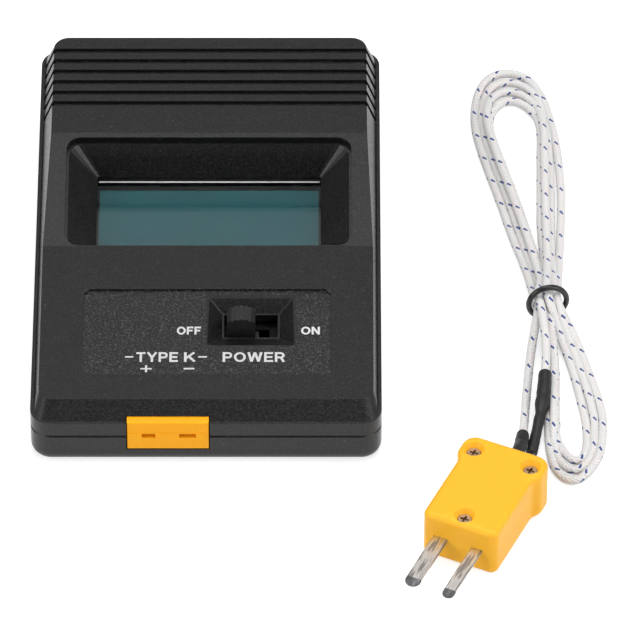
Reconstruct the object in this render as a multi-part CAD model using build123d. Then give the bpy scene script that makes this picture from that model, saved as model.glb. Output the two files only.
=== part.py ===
from build123d import *
import os
from math import atan2, cos, degrees, radians, sin, tan

# A pocket thermometer for a type K thermocouple, and its probe.
#
# Frame: millimetres, +Z up, +X to the right, and the socket side of the meter faces -Y.
# The origin is the centre of the meter's underside.  The probe lies on the same surface.

# ---------------------------------------------------------------- driving dimensions: case
case_width = 71.4
case_length = 108.0
case_height = 23.0
corner_radius = 4.2
wall = 1.7
floor_thickness = 2.0
parting_height = 7.3
rim_front_height = 10.8
rim_back_height = 17.7
rim_ledge = 0.7
underside_radius = 2.8
parting_chamfer = 0.3
fit_gap = 0.2

# raised part of the upper case, over the rim
side_draft = 21.0
lip_run = 3.7
lip_rise = 2.5
knee_from_front = 48.0
knee_rise = 2.3
grip_from_back = 30.0
grip_drop = 2.0
back_run = 1.1
top_corner_radius = 3.2
roof = 1.6
root_depth = 3.0

# grip grooves across the back of the upper case
groove_count = 6
groove_width = 1.3
groove_pitch = 3.12
groove_depth = 0.7
groove_from_back = 5.1

# display recess
recess_width = 59.4
recess_length = 28.6
recess_corner = 3.0
corner_facets = 4
recess_front = 48.4
recess_step = 1.6
recess_step_inset = 0.5
aperture_width = 46.6
aperture_length = 21.6
aperture_front = 52.2
aperture_height = 12.2
aperture_edge = 1.2
recess_wall = 1.4

# label panel and the switch window in it
label_width = 50.6
label_front = 11.5
label_length = 24.1
label_corner = 1.2
label_depth = 0.45
switch_x = 9.0
switch_from_front = 27.4
window_width = 18.2
window_length = 14.3
window_shift = 0.8
window_depth = 2.4
slot_width = 11.0
slot_length = 6.4

# ---------------------------------------------------------------- driving dimensions: inside
board_width = 57.0
board_length = 62.2
board_thickness = 1.6
board_height = 4.2
board_front = 15.0
board_screw_inset = 2.8
board_screw_radius = 0.8
board_screw_head = 1.6
display_glass_width = 50.0
display_glass_length = 25.0
display_glass_thickness = 2.0
display_clearance = 0.2
film_thickness = 0.2
frame_wall = 1.2
pane_thickness = 1.0
pane_margin = 1.4
strip_width = 2.0

knob_width = 5.8
knob_length = 4.3
knob_top = 16.4
knob_crown = 0.9
knob_travel = 4.0
knob_ridges = 5
switch_can_width = 13.0
switch_can_length = 6.6
switch_can_height = 4.4
switch_can_wall = 0.4
lever_width = 3.0
lever_length = 2.4

socket_x = -7.7
socket_width = 16.6
socket_height = 7.3
socket_seam = 0.2
socket_bottom = 4.0
socket_depth = 15.0
socket_proud = 0.2
blade_pitch = 7.9
blade_thickness = 0.8
blade_length = 14.8
wide_blade = 3.2
narrow_blade = 2.5
slot_margin = 0.12

battery_length = 45.5
battery_width = 26.0
battery_thickness = 17.0
battery_radius = 2.4
battery_from_back = 3.2
battery_x = -1.5
terminal_height = 2.6
snap_thickness = 2.4
snap_length = 23.0
snap_height = 11.0
cover_width = 54.0
cover_length = 29.5
cover_thickness = 1.5
cover_tongue = 0.8
cover_gap = 0.15
lead_diameter = 1.3

case_screw_radius = 1.25
case_screw_head_radius = 2.3
case_screw_length = 8.0
case_screw_seat = 3.0
case_screw_head_height = 1.8
screw_clearance = 0.05
boss_radius = 2.9
boss_x = 31.6
boss_front = 8.6
boss_back = 33.0

# ---------------------------------------------------------------- driving dimensions: probe
plug_nose = (52.1, -81.1)
plug_turn = -25.0
plug_width = 16.3
plug_ear_width = 18.6
plug_ear_length = 6.2
plug_length = 25.4
plug_thickness = 11.3
plug_round = 1.2
plug_ear_round = 2.9
plug_nose_round = 1.7
blade_round = 0.3
blade_bevel = 14.0
nose_screw_from_front = 2.9
plug_screw_pitch = 12.5
plug_screw_spread = 18.4
plug_screw_radius = 0.9
plug_head_radius = 1.35
plug_head_height = 1.0
plug_sink_radius = 2.1
plug_sink_depth = 1.1

cord_diameter = 1.8
sleeve_diameter = 2.6
sensor_sleeve_diameter = 2.9
sensor_tail_diameter = 2.3
tie_outer_diameter = 9.2
tie_section = 1.2
tie_place = (70.3, -10.5)
tie_turn = 11.4
neck_clearance = 0.1
loop_height = 4.0
lower_loop_height = 4.6
wire_diameter = 0.5
bead_diameter = 1.4

# ---------------------------------------------------------------- places worked out from them
front_y = -case_length / 2
back_y = case_length / 2
board_top = board_height + board_thickness
board_rear = front_y + board_front + board_length
rim_slope = (rim_back_height - rim_front_height) / case_length
rim_angle = degrees(atan2(rim_slope, 1))
display_y = front_y + aperture_front + aperture_length / 2
aperture_bottom = aperture_height - aperture_edge
pane_bottom = aperture_bottom - pane_thickness
switch_y = front_y + switch_from_front
slot_left = switch_x - slot_width / 2
knob_x = switch_x - knob_travel / 2
socket_front = front_y - socket_proud
socket_mid = socket_bottom + socket_height / 2
battery_y = back_y - battery_from_back - battery_width / 2
battery_bottom = cover_thickness + fit_gap
case_screw_places = [(side * boss_x, y) for side in (-1, 1)
                     for y in (front_y + boss_front, back_y - boss_back)]
case_screw_tip = case_screw_seat + case_screw_length
plug_rear = plug_length - nose_screw_from_front
plug_mid = plug_thickness / 2


def rim_height(y):
    """Height of the rim ledge at a distance along the case."""
    return rim_front_height + rim_slope * (y - front_y)


def top_profile(sink):
    """Corners of the raised part's outline, front to back, sunk in by a wall."""
    lip_y = front_y + rim_ledge + sink
    panel_y = front_y + rim_ledge + lip_run + sink * 0.6
    knee_y = front_y + knee_from_front
    grip_y = back_y - grip_from_back
    back_top_y = back_y - rim_ledge - back_run - sink
    return [
        (lip_y, rim_height(lip_y)),
        (panel_y, rim_height(panel_y) + lip_rise - sink),
        (knee_y, rim_height(knee_y) + knee_rise - sink),
        (grip_y, case_height - grip_drop - sink),
        (back_top_y, case_height - sink),
        (back_y - rim_ledge - sink, rim_height(back_y - rim_ledge)),
    ]


def panel_height(y):
    """Height of the top panel at a distance along the case."""
    corners = top_profile(0)[1:5]
    for (y0, z0), (y1, z1) in zip(corners, corners[1:]):
        if y <= y1:
            return z0 + (z1 - z0) * (y - y0) / (y1 - y0)
    return case_height


def panel_plane(y, x=0.0, sink=0.0):
    """A plane that lies on the top panel, with its normal out of the panel."""
    slope = panel_height(y + 0.5) - panel_height(y - 0.5)
    tilt = atan2(slope, 1)
    return Plane(origin=(x, y, panel_height(y) - sink), x_dir=(1, 0, 0),
                 z_dir=(0, -sin(tilt), cos(tilt)))


def block(low, high):
    """A box from its lowest and highest corners."""
    size = [b - a for a, b in zip(low, high)]
    centre = [(a + b) / 2 for a, b in zip(low, high)]
    return Pos(*centre) * Box(*size)


def rod(radius, place, bottom, top):
    """An upright round bar between two heights."""
    return Pos(place[0], place[1], (bottom + top) / 2) * Cylinder(radius, top - bottom)


def rounded_block(width, length, radius, bottom, top):
    """An upright block with rounded corners, centred on the origin."""
    outline = RectangleRounded(width, length, radius)
    return extrude(Pos(0, 0, bottom) * outline, amount=top - bottom)


def ruled_pocket(lower, upper):
    """A solid with flat or twisted sides between two closed outlines of equal corners."""
    wires = [Polyline(*points, close=True) for points in (lower, upper)]
    faces = [make_face(w) for w in wires]
    return loft(Sketch() + faces, ruled=True)


def cut_corner_rectangle(plane, width, length, corner, facets=1):
    """A rectangle with its corners cut off, or rounded by several facets, on a plane."""
    x, y = width / 2 - corner, length / 2 - corner
    flat = []
    for quarter, (u, v) in enumerate([(-x, -y), (x, -y), (x, y), (-x, y)]):
        for step in range(facets + 1):
            turn = radians(180 + 90 * (quarter + step / facets))
            flat.append((u + corner * cos(turn), v + corner * sin(turn)))
    return [plane.from_local_coords((u, v, 0)) for u, v in flat]


# ---------------------------------------------------------------- case
def lower_prism(inset, bottom, sink):
    """The straight walls of the case, up to the sloping rim."""
    prism = rounded_block(case_width - 2 * inset, case_length - 2 * inset,
                          corner_radius - inset * 0.6, bottom, case_height)
    rim_plane = Plane(origin=(0, 0, rim_height(0) - sink), x_dir=(1, 0, 0),
                      z_dir=(0, -sin(radians(rim_angle)), cos(radians(rim_angle))))
    above = extrude(rim_plane * Rectangle(case_width * 2, case_length * 2), amount=case_height)
    return prism - above


def raised_part(inset):
    """The tapered top of the case, over the rim: side profile and front profile crossed."""
    corners = top_profile(inset)
    first, last = corners[0], corners[-1]
    outline = [(first[0], first[1] - root_depth)] + corners + [(last[0], last[1] - root_depth)]
    side = extrude(Plane.YZ * make_face(Polyline(*outline, close=True)),
                   amount=case_width, both=True)
    half = case_width / 2 - rim_ledge - inset
    lean = tan(radians(side_draft))
    height = case_height
    tapered = [(-half, 0), (half, 0), (half - height * lean, height), (-half + height * lean, height)]
    rim_plane = Plane(origin=(0, front_y * 1.5, rim_height(front_y * 1.5)), x_dir=(1, 0, 0),
                      z_dir=(0, -cos(radians(rim_angle)), -sin(radians(rim_angle))))
    front = extrude(rim_plane * make_face(Polyline(*tapered, close=True)), amount=-case_length * 2)
    body = side & front
    uprights = body.edges().filter_by(lambda e: abs(e.tangent_at(0.5).X) < 0.6
                                      and abs(e.tangent_at(0.5).X) > 0.15)
    return fillet(uprights, max(top_corner_radius - inset, 0.6))


def grip_grooves():
    """Grooves over the top and down both sides, cut to one depth."""
    first = back_y - groove_from_back
    slabs = [block((-case_width, first - n * groove_pitch - groove_width, rim_back_height - 4),
                   (case_width, first - n * groove_pitch, case_height + 1))
             for n in range(groove_count)]
    shell = raised_part(0) - raised_part(groove_depth)
    rim = Plane(origin=(0, 0, rim_height(0)), x_dir=(1, 0, 0),
                z_dir=(0, -sin(radians(rim_angle)), cos(radians(rim_angle))))
    over_rim = extrude(rim * Rectangle(case_width * 2, case_length * 2), amount=case_height)
    return Part() + [slab & shell & over_rim for slab in slabs]


def display_recess(grow):
    """The funnel from the panel down to the display aperture; grow thickens it outwards."""
    mid = front_y + recess_front + recess_length / 2
    tilt = panel_height(mid + recess_length / 2) - panel_height(mid - recess_length / 2)
    angle = atan2(tilt, recess_length)
    normal = (0, -sin(angle), cos(angle))
    mid_height = (panel_height(mid + recess_length / 2) + panel_height(mid - recess_length / 2)) / 2
    panel = Plane(origin=(0, mid, mid_height), x_dir=(1, 0, 0), z_dir=normal)
    step = Plane(origin=(0, mid, mid_height - recess_step), x_dir=(1, 0, 0), z_dir=normal)
    bottom_height = aperture_height if grow == 0 else aperture_bottom
    aperture = Plane((0, display_y, bottom_height))
    width, length = recess_width + 2 * grow, recess_length / cos(angle) + 2 * grow
    inset = 2 * recess_step_inset
    funnel = ruled_pocket(
        cut_corner_rectangle(aperture, aperture_width + 2 * grow, aperture_length + 2 * grow, 0.6,
                             corner_facets),
        cut_corner_rectangle(step, width - inset, length - inset, recess_corner, corner_facets))
    mouth = extrude(step * make_face(Polyline(
        *cut_corner_rectangle(Plane.XY, width, length, recess_corner, corner_facets), close=True)),
        amount=8)
    return funnel + mouth


def switch_window(grow):
    """The sloping pocket round the power knob."""
    top = panel_plane(switch_y - window_shift, switch_x)
    floor = panel_plane(switch_y, switch_x, sink=window_depth + grow)
    pocket = ruled_pocket(
        cut_corner_rectangle(floor, slot_width + 0.8 + 2 * grow, slot_length + 0.8 + 2 * grow, 0.3),
        cut_corner_rectangle(top, window_width + 2 * grow, window_length + 2 * grow, 0.3))
    return pocket


def screw_boss(place, bottom, top):
    return rod(boss_radius, place, bottom, top)


def upper_case():
    walls = lower_prism(0, parting_height, 0)
    seam = walls.faces().sort_by(Axis.Z)[0].outer_wire().edges()
    outside = chamfer(seam, parting_chamfer) + raised_part(0)
    inside = lower_prism(wall, parting_height - 1, roof) + raised_part(roof)
    inside += lower_prism(rim_ledge + roof, parting_height - 1, 0)
    shell = outside - inside
    added = (display_recess(recess_wall) & outside) + (switch_window(1.1) & outside)
    for place in case_screw_places:
        added += screw_boss(place, parting_height, case_height) & outside
    body = shell + added
    body -= display_recess(0)
    body -= block((-aperture_width / 2, display_y - aperture_length / 2, aperture_bottom - 1),
                  (aperture_width / 2, display_y + aperture_length / 2, aperture_height + 1))
    body -= switch_window(0)
    body -= block((slot_left, switch_y - slot_length / 2, board_top + switch_can_height),
                  (slot_left + slot_width, switch_y + slot_length / 2, case_height))
    body -= label_recess()
    body -= grip_grooves()
    body -= socket_cutout()
    for place in case_screw_places:
        body -= rod(case_screw_radius + screw_clearance, place, parting_height - 1,
                    case_screw_tip + 0.5)
    return body


def label_recess():
    """A shallow wedge for the printed panel: deepest at its far edge, flush at its near edge."""
    near = front_y + label_front
    plane = panel_plane(near + label_length / 2)
    drop = degrees(atan2(label_depth, label_length))
    length = label_length
    outline = cut_corner_rectangle(Plane.XY, label_width, length, label_corner)
    face = make_face(Polyline(*outline, close=True))
    low = plane * Pos(0, -length / 2, 0) * Rot(-drop, 0, 0) * Pos(0, length / 2, 0)
    return extrude(low * face, amount=3)


def socket_cutout():
    gap = fit_gap
    return block((socket_x - socket_width / 2 - gap, front_y - 2, socket_bottom - gap),
                 (socket_x + socket_width / 2 + gap, socket_front + socket_depth + gap,
                  socket_bottom + socket_height + gap))


def cover_outline(gap):
    """The battery cover's plate and its two side tongues."""
    front = back_y - cover_length
    plate = block((-cover_width / 2 - gap, front - gap, -1),
                  (cover_width / 2 + gap, back_y + 5, cover_thickness + gap))
    tongue = block((-cover_width / 2 - cover_tongue - gap, front - gap, 0.6 - gap),
                   (cover_width / 2 + cover_tongue + gap, back_y + 5, 1.1 + gap))
    return plate + tongue


def tray_outside():
    tray = rounded_block(case_width, case_length, corner_radius, 0, parting_height)
    tray = fillet(tray.faces().sort_by(Axis.Z)[0].outer_wire().edges(), underside_radius)
    return chamfer(tray.faces().sort_by(Axis.Z)[-1].outer_wire().edges(), parting_chamfer)


def battery_walls():
    """Upright walls in the lower case that hold the battery, and a floor ledge each side."""
    gap = 0.4
    left = battery_x - battery_length / 2 - gap
    right = battery_x + battery_length / 2 + terminal_height + snap_thickness + gap
    front = battery_y - battery_width / 2 - gap
    thickness, top = 1.0, 12.0
    walls = block((left - thickness, front - thickness, floor_thickness - 0.5),
                  (left, back_y - wall, top))
    walls += block((right, front - thickness, floor_thickness - 0.5),
                   (right + thickness, back_y - wall, top))
    walls += block((left - thickness, front - thickness, floor_thickness - 0.5),
                   (right + thickness, front, top))
    notch = block((right - 6, front - 2, 6.0), (right + 2, front + 3, top + 1))
    return walls - notch


def lower_case():
    outside = tray_outside()
    inside = rounded_block(case_width - 2 * wall, case_length - 2 * wall, corner_radius - 1,
                           floor_thickness, parting_height + 1)
    body = outside - inside
    lip = rounded_block(case_width - 2 * wall - 0.2, case_length - 2 * wall - 0.2,
                        corner_radius - 1.1, parting_height - 1.5, parting_height + 1.2)
    lip -= rounded_block(case_width - 2 * wall - 2.0, case_length - 2 * wall - 2.0,
                         corner_radius - 2.0, parting_height - 2, parting_height + 2)
    body += lip
    for place in case_screw_places:
        body += screw_boss(place, floor_thickness - 0.5, parting_height)
        body -= rod(boss_radius + 0.2, place, parting_height, parting_height + 2)
    for place in board_screw_places():
        body += rod(2.4, place, floor_thickness - 0.5, board_height)
        body -= rod(board_screw_radius + screw_clearance, place, floor_thickness * 0.5,
                    board_height + 1)
    body += battery_walls()
    body -= cover_outline(cover_gap)
    body -= block((battery_x - battery_length / 2 - 0.4, battery_y - battery_width / 2 - 0.4, 0),
                  (battery_x + battery_length / 2 + terminal_height + snap_thickness + 0.4,
                   back_y - wall, floor_thickness + 0.5))
    body -= socket_cutout()
    for place in case_screw_places:
        body -= rod(case_screw_radius + 0.25, place, -1, parting_height + 1)
        body -= rod(case_screw_head_radius + 0.2, place, -1, case_screw_seat)
    return body


def battery_cover():
    plate = cover_outline(0) & tray_outside()
    front = back_y - cover_length
    ridges = [block((-7, front + 4 + n * 1.6, -1), (7, front + 4.7 + n * 1.6, 0.4))
              for n in range(5)]
    return plate - ridges


def case_screws():
    screws = []
    for place in case_screw_places:
        head = case_screw_seat - case_screw_head_height
        screw = rod(case_screw_head_radius, place, head, case_screw_seat)
        screw += rod(case_screw_radius, place, head + 0.5, case_screw_tip)
        screw -= cross_slot(place, head, 2.6, -1)
        screws.append(screw)
    return Compound(children=screws)


def cross_slot(place, height, length, side):
    """A cross recess cut into a screw head; side is the way out of the head."""
    low, high = sorted((height + side * 0.5, height - side * 0.8))
    bars = block((-length / 2, -0.25, low), (length / 2, 0.25, high))
    bars += block((-0.25, -length / 2, low), (0.25, length / 2, high))
    return Pos(place[0], place[1], 0) * bars


# ---------------------------------------------------------------- display
def display_window():
    return block((-aperture_width / 2 - pane_margin, display_y - aperture_length / 2 - pane_margin,
                  pane_bottom),
                 (aperture_width / 2 + pane_margin, display_y + aperture_length / 2 + pane_margin,
                  aperture_bottom))


def display_stack(width, length, bottom, thickness):
    return block((-width / 2, display_y - length / 2, bottom),
                 (width / 2, display_y + length / 2, bottom + thickness))


glass_top = pane_bottom - display_clearance - film_thickness
glass_bottom = glass_top - display_glass_thickness


def display_glass():
    return display_stack(display_glass_width, display_glass_length, glass_bottom,
                         display_glass_thickness)


def display_polarizer():
    return display_stack(display_glass_width - 2, display_glass_length - 3, glass_top,
                         film_thickness)


def display_reflector():
    return display_stack(display_glass_width - 2, display_glass_length - 6,
                         glass_bottom - film_thickness, film_thickness)


def display_frame():
    gap = 0.1
    outer = display_stack(display_glass_width + 2 * frame_wall, display_glass_length + 2 * frame_wall,
                          board_top, glass_top - board_top)
    inner = display_stack(display_glass_width + 2 * gap, display_glass_length + 2 * gap,
                          board_top - 1, 20)
    return outer - inner


def contact_strips():
    edge = display_glass_length / 2 - 0.4
    strips = [block((-display_glass_width / 2 + 1, display_y + side * edge - strip_width / 2
                     - side * strip_width / 2, board_top),
                    (display_glass_width / 2 - 1, display_y + side * edge + strip_width / 2
                     - side * strip_width / 2, glass_bottom)) for side in (-1, 1)]
    return Compound(children=strips)


# ---------------------------------------------------------------- circuit board
def board_screw_places():
    near = front_y + board_front + board_screw_inset
    far = display_y - display_glass_length / 2 - frame_wall - board_screw_head - 0.3
    x = board_width / 2 - board_screw_inset
    return [(-x, near), (x, near), (-x, far), (x, far)]


def main_board():
    near = front_y + board_front
    board = block((-board_width / 2, near, board_height),
                  (board_width / 2, board_rear, board_top))
    for place in board_screw_places():
        board -= rod(1.1, place, 0, board_top + 1)
    return board


def board_screws():
    screws = []
    for place in board_screw_places():
        screw = rod(board_screw_head, place, board_top, board_top + 1.3)
        screw += rod(board_screw_radius, place, floor_thickness * 0.5 + 0.3, board_top)
        screw -= cross_slot(place, board_top + 1.3, 2.2, 1)
        screws.append(screw)
    return Compound(children=screws)


def chip(width, length, height, x, y, legs, pitch):
    """A dual-in-line chip standing on the board on two rows of legs."""
    stand = 0.5
    body = block((x - width / 2, y - length / 2, board_top + stand),
                 (x + width / 2, y + length / 2, board_top + stand + height))
    body = chamfer(body.edges().group_by(Axis.Z)[-1], 0.4)
    for n in range(legs):
        leg_x = x + (n - (legs - 1) / 2) * pitch
        for side in (-1, 1):
            edge = y + side * length / 2
            body += block((leg_x - 0.25, min(edge, edge + side * 0.8), board_top),
                          (leg_x + 0.25, max(edge, edge + side * 0.8), board_top + stand + height / 2))
    return body


chip_y = front_y + 39.0
front_row_y = front_y + 27.0


def converter_chip():
    return chip(50.0, 12.6, 3.4, 0, chip_y, 20, 2.4)


def amplifier_chip():
    return chip(9.4, 6.2, 3.0, -9.0, front_row_y, 4, 2.2)


def trimmers():
    parts = []
    for x in (-24.0, -17.6):
        y = front_row_y - 1.0
        body = block((x - 2.9, y - 2.9, board_top), (x + 2.9, y + 2.9, board_top + 4.2))
        dial = rod(1.9, (x, y), board_top + 4.2, board_top + 4.8)
        dial -= block((x - 1.4, y - 0.3, board_top + 4.4), (x + 1.4, y + 0.3, board_top + 6))
        parts.append(body + dial)
    return Compound(children=parts)


def film_capacitors():
    places = [(21.5, front_row_y + 2.0), (21.5, front_row_y - 2.6)]
    parts = []
    for x, y in places:
        body = block((x - 3.6, y - 1.7, board_top), (x + 3.6, y + 1.7, board_top + 5.0))
        parts.append(fillet(body.edges().filter_by(Axis.Z), 1.2))
    return Compound(children=parts)


def resistors():
    parts = []
    for n in range(4):
        x = -20.0 + n * 3.4
        y = front_row_y - 8.6
        body = Pos(x, y, board_top + 1.2) * Rot(90, 0, 0) * Cylinder(0.9, 5.2)
        for side in (-1, 1):
            end = y + side * 3.2
            body += rod(0.25, (x, end), board_top, board_top + 1.4)
            body += Pos(x, y + side * 2.8, board_top + 1.2) * Rot(90, 0, 0) * Cylinder(0.25, 1.2)
        parts.append(body)
    return Compound(children=parts)


# ---------------------------------------------------------------- power switch
can_top = board_top + switch_can_height


def switch_base():
    half_x = switch_can_width / 2 - switch_can_wall
    half_y = switch_can_length / 2 - switch_can_wall
    return block((switch_x - half_x, switch_y - half_y, board_top),
                 (switch_x + half_x, switch_y + half_y, board_top + 1.0))


def switch_can():
    can = block((switch_x - switch_can_width / 2, switch_y - switch_can_length / 2, board_top),
                (switch_x + switch_can_width / 2, switch_y + switch_can_length / 2, can_top))
    t = switch_can_wall
    can -= block((switch_x - switch_can_width / 2 + t, switch_y - switch_can_length / 2 + t,
                  board_top - 1),
                 (switch_x + switch_can_width / 2 - t, switch_y + switch_can_length / 2 - t,
                  can_top - t))
    reach = lever_width / 2 + knob_travel / 2 + 0.3
    can -= block((switch_x - reach, switch_y - lever_length / 2 - 0.3, can_top - 1),
                 (switch_x + reach, switch_y + lever_length / 2 + 0.3, can_top + 1))
    return can


def switch_slider():
    """The insulating slider inside the switch, with the lever that the knob sits on."""
    foot_bottom = board_top + 1.0 + 0.1
    foot_top = can_top - switch_can_wall - 0.1
    foot = block((knob_x - 3.6, switch_y - 2.4, foot_bottom), (knob_x + 3.6, switch_y + 2.4, foot_top))
    lever = block((knob_x - lever_width / 2, switch_y - lever_length / 2, foot_bottom),
                  (knob_x + lever_width / 2, switch_y + lever_length / 2, can_top + 3.4))
    return foot + lever


def power_knob():
    """A crowned finger block with ridges from front to back."""
    bottom = can_top + 0.3
    half = knob_width / 2
    shoulder = knob_top - knob_crown
    arch = ThreePointArc((half, shoulder), (0, knob_top), (-half, shoulder))
    sides = Polyline((-half, shoulder), (-half, bottom), (half, bottom), (half, shoulder))
    profile = make_face(Curve() + [sides, arch])
    knob = extrude(Plane.XZ * profile, amount=knob_length / 2, both=True)
    pitch = knob_width / knob_ridges
    for n in range(knob_ridges - 1):
        x = (n - (knob_ridges - 2) / 2) * pitch
        knob -= block((x - 0.27, -knob_length, shoulder - 0.2 + knob_crown * (1 - (x / half) ** 2)),
                      (x + 0.27, knob_length, knob_top + 1))
    knob -= block((-lever_width / 2 - 0.05, -lever_length / 2 - 0.05, bottom - 1),
                  (lever_width / 2 + 0.05, lever_length / 2 + 0.05, can_top + 3.5))
    return Pos(knob_x, switch_y, 0) * knob


# ---------------------------------------------------------------- thermocouple socket
def socket_places():
    """The two blade slots: centre and blade width."""
    return {"positive": (socket_x - blade_pitch / 2, narrow_blade),
            "negative": (socket_x + blade_pitch / 2, wide_blade)}


def socket_chamber(x, width, gap):
    """The space behind a slot where the spring contact sits."""
    return block((x - width / 2 - 0.3 - gap, socket_front + 1.6, socket_mid - 1.6 - gap),
                 (x + width / 2 + 0.3 + gap, socket_front + socket_depth + 1, socket_mid + 1.6 + gap))


def socket_housing():
    body = block((socket_x - socket_width / 2, socket_front, socket_bottom),
                 (socket_x + socket_width / 2, socket_front + socket_depth,
                  socket_bottom + socket_height))
    front = body.faces().sort_by(Axis.Y)[0]
    body = fillet(front.edges(), 0.4)
    seam = Pos(socket_x, socket_front, socket_mid + blade_thickness) * Rot(45, 0, 0)
    body -= seam * Box(socket_width * 2, socket_seam, socket_seam)
    for x, width in socket_places().values():
        body -= block((x - width / 2 - slot_margin, socket_front - 1,
                       socket_mid - blade_thickness / 2 - slot_margin),
                      (x + width / 2 + slot_margin, socket_front + 3,
                       socket_mid + blade_thickness / 2 + slot_margin))
        body -= socket_chamber(x, width, 0)
    return body


def socket_contact(name):
    """Two spring leaves joined at the back, with a tail down to the board."""
    x, width = socket_places()[name]
    leaf = 0.4
    gap = blade_thickness / 2 + 0.05
    start, end = socket_front + 2.0, socket_front + socket_depth + 0.6
    upper = block((x - width / 2, start, socket_mid + gap), (x + width / 2, end, socket_mid + gap + leaf))
    lower = block((x - width / 2, start, socket_mid - gap - leaf), (x + width / 2, end, socket_mid - gap))
    joint = block((x - width / 2, end - leaf, socket_mid - gap - leaf),
                  (x + width / 2, end, socket_mid + gap + leaf))
    tail = block((x - 0.8, end - leaf, board_top), (x + 0.8, end, socket_mid))
    foot = block((x - 0.8, end - leaf, board_top),
                 (x + 0.8, front_y + board_front + 2.0, board_top + leaf))
    return upper + lower + joint + tail + foot


# ---------------------------------------------------------------- battery
def battery():
    body = block((battery_x - battery_length / 2, battery_y - battery_width / 2, battery_bottom),
                 (battery_x + battery_length / 2, battery_y + battery_width / 2,
                  battery_bottom + battery_thickness))
    body = fillet(body.edges().filter_by(Axis.X), battery_radius)
    mid = battery_bottom + battery_thickness / 2
    end = battery_x + battery_length / 2
    for side, radius in ((-1, 2.8), (1, 3.8)):
        post = Pos(end + terminal_height / 2, battery_y + side * 6.35, mid) * Rot(0, 90, 0)
        body += post * Cylinder(radius, terminal_height)
    return body


def battery_snap():
    mid = battery_bottom + battery_thickness / 2
    low = battery_x + battery_length / 2 + terminal_height
    snap = block((low, battery_y - snap_length / 2, mid - snap_height / 2),
                 (low + snap_thickness, battery_y + snap_length / 2, mid + snap_height / 2))
    return fillet(snap.edges().filter_by(Axis.X), 2.0)


def tube(points, diameter, turns=None):
    """A round tube along straight runs joined by the largest arcs that they allow."""
    radii = turns or arc_radii(points)
    path = FilletPolyline(*points, radius=radii) if len(points) > 2 else Polyline(*points)
    section = Plane(origin=path @ 0, z_dir=path % 0) * Circle(diameter / 2)
    return sweep(section, path=path)


def arc_radii(points):
    """One radius per corner: 0.45 of the shorter run over the tangent of half the turn."""
    radii = []
    for before, corner, after in zip(points, points[1:], points[2:]):
        run_in = Vector(*corner) - Vector(*before)
        run_out = Vector(*after) - Vector(*corner)
        half_turn = radians(run_in.get_angle(run_out) / 2)
        radii.append(0.45 * min(run_in.length, run_out.length) / tan(half_turn))
    return radii


def battery_lead(shift):
    """A lead from the snap over the wall to the board."""
    mid = battery_bottom + battery_thickness / 2
    x = battery_x + battery_length / 2 + terminal_height + snap_thickness / 2
    start_y = battery_y - snap_length / 2
    lane_x = (display_glass_width / 2 + frame_wall + board_width / 2) / 2 + 0.05
    lane_z = board_top + 2.6 + shift * 0.62
    rest_z = board_top + lead_diameter / 2 + 0.05
    end_y = board_rear - 17.9 - shift * 2.0
    return [(x, start_y, mid + shift), (x + 0.3, start_y - 1.4, mid + shift * 0.95),
            (lane_x, start_y - 3.6, mid - 0.6 + shift * 0.85),
            (lane_x + 0.1, board_rear - 5.7, lane_z + 0.3), (lane_x, board_rear - 10.9, lane_z),
            (lane_x + 0.1, end_y + 2.2, rest_z + 0.3), (lane_x, end_y, rest_z)]


# ---------------------------------------------------------------- probe: plug
def place_plug(shape):
    return Pos(plug_nose[0], plug_nose[1], 0) * Rot(0, 0, plug_turn) * shape


def plug_point(x, y, z):
    """A point given in the plug's own frame, with y towards its cord."""
    turn = radians(plug_turn)
    return (plug_nose[0] + x * cos(turn) - y * sin(turn),
            plug_nose[1] + x * sin(turn) + y * cos(turn), z)


def plug_outline():
    half, ear = plug_width / 2, plug_ear_width / 2
    front, rear = -nose_screw_from_front, plug_rear
    neck = rear - plug_ear_length
    right = [(half, front), (half, neck - 1.2), (ear, neck + 0.6), (ear, rear)]
    left = [(-x, y) for x, y in reversed(right)]
    outline = make_face(Polyline(*(right + left), close=True))
    corners = outline.vertices().filter_by(lambda v: v.Y > neck - 2)
    outline = fillet(corners, plug_ear_round)
    return fillet(outline.vertices().sort_by(Axis.Y)[:2], plug_nose_round)


def plug_body():
    body = extrude(plug_outline(), amount=plug_thickness)
    return fillet(body.edges().filter_by(lambda e: abs(e.center().Z - plug_mid) > plug_mid * 0.9),
                  plug_round)


def plug_screw_places():
    return [(0, 0), (-plug_screw_pitch / 2, plug_screw_spread),
            (plug_screw_pitch / 2, plug_screw_spread)]


def blade_places():
    return {"negative": (-blade_pitch / 2, wide_blade), "positive": (blade_pitch / 2, narrow_blade)}


blade_root = 9.0


def plug_cavity():
    """Blade seats, terminal room and the cord bore, shared by the two shells."""
    front = -nose_screw_from_front
    hollow = Part()
    for x, width in blade_places().values():
        hollow += block((x - width / 2, front - 1, plug_mid - blade_thickness / 2),
                        (x + width / 2, front + blade_root, plug_mid + blade_thickness / 2))
        hollow += block((x - 2.4, front + 4.4, plug_mid - 2.2), (x + 2.4, front + 11.5, plug_mid + 2.4))
    hollow += block((-5.0, front + 11.0, plug_mid - 1.6), (5.0, plug_rear - 6.5, plug_mid + 1.6))
    bore = Pos(0, plug_rear, plug_mid) * Rot(90, 0, 0) * Cylinder(sleeve_diameter / 2 + 0.05, 14)
    return hollow + bore


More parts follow.
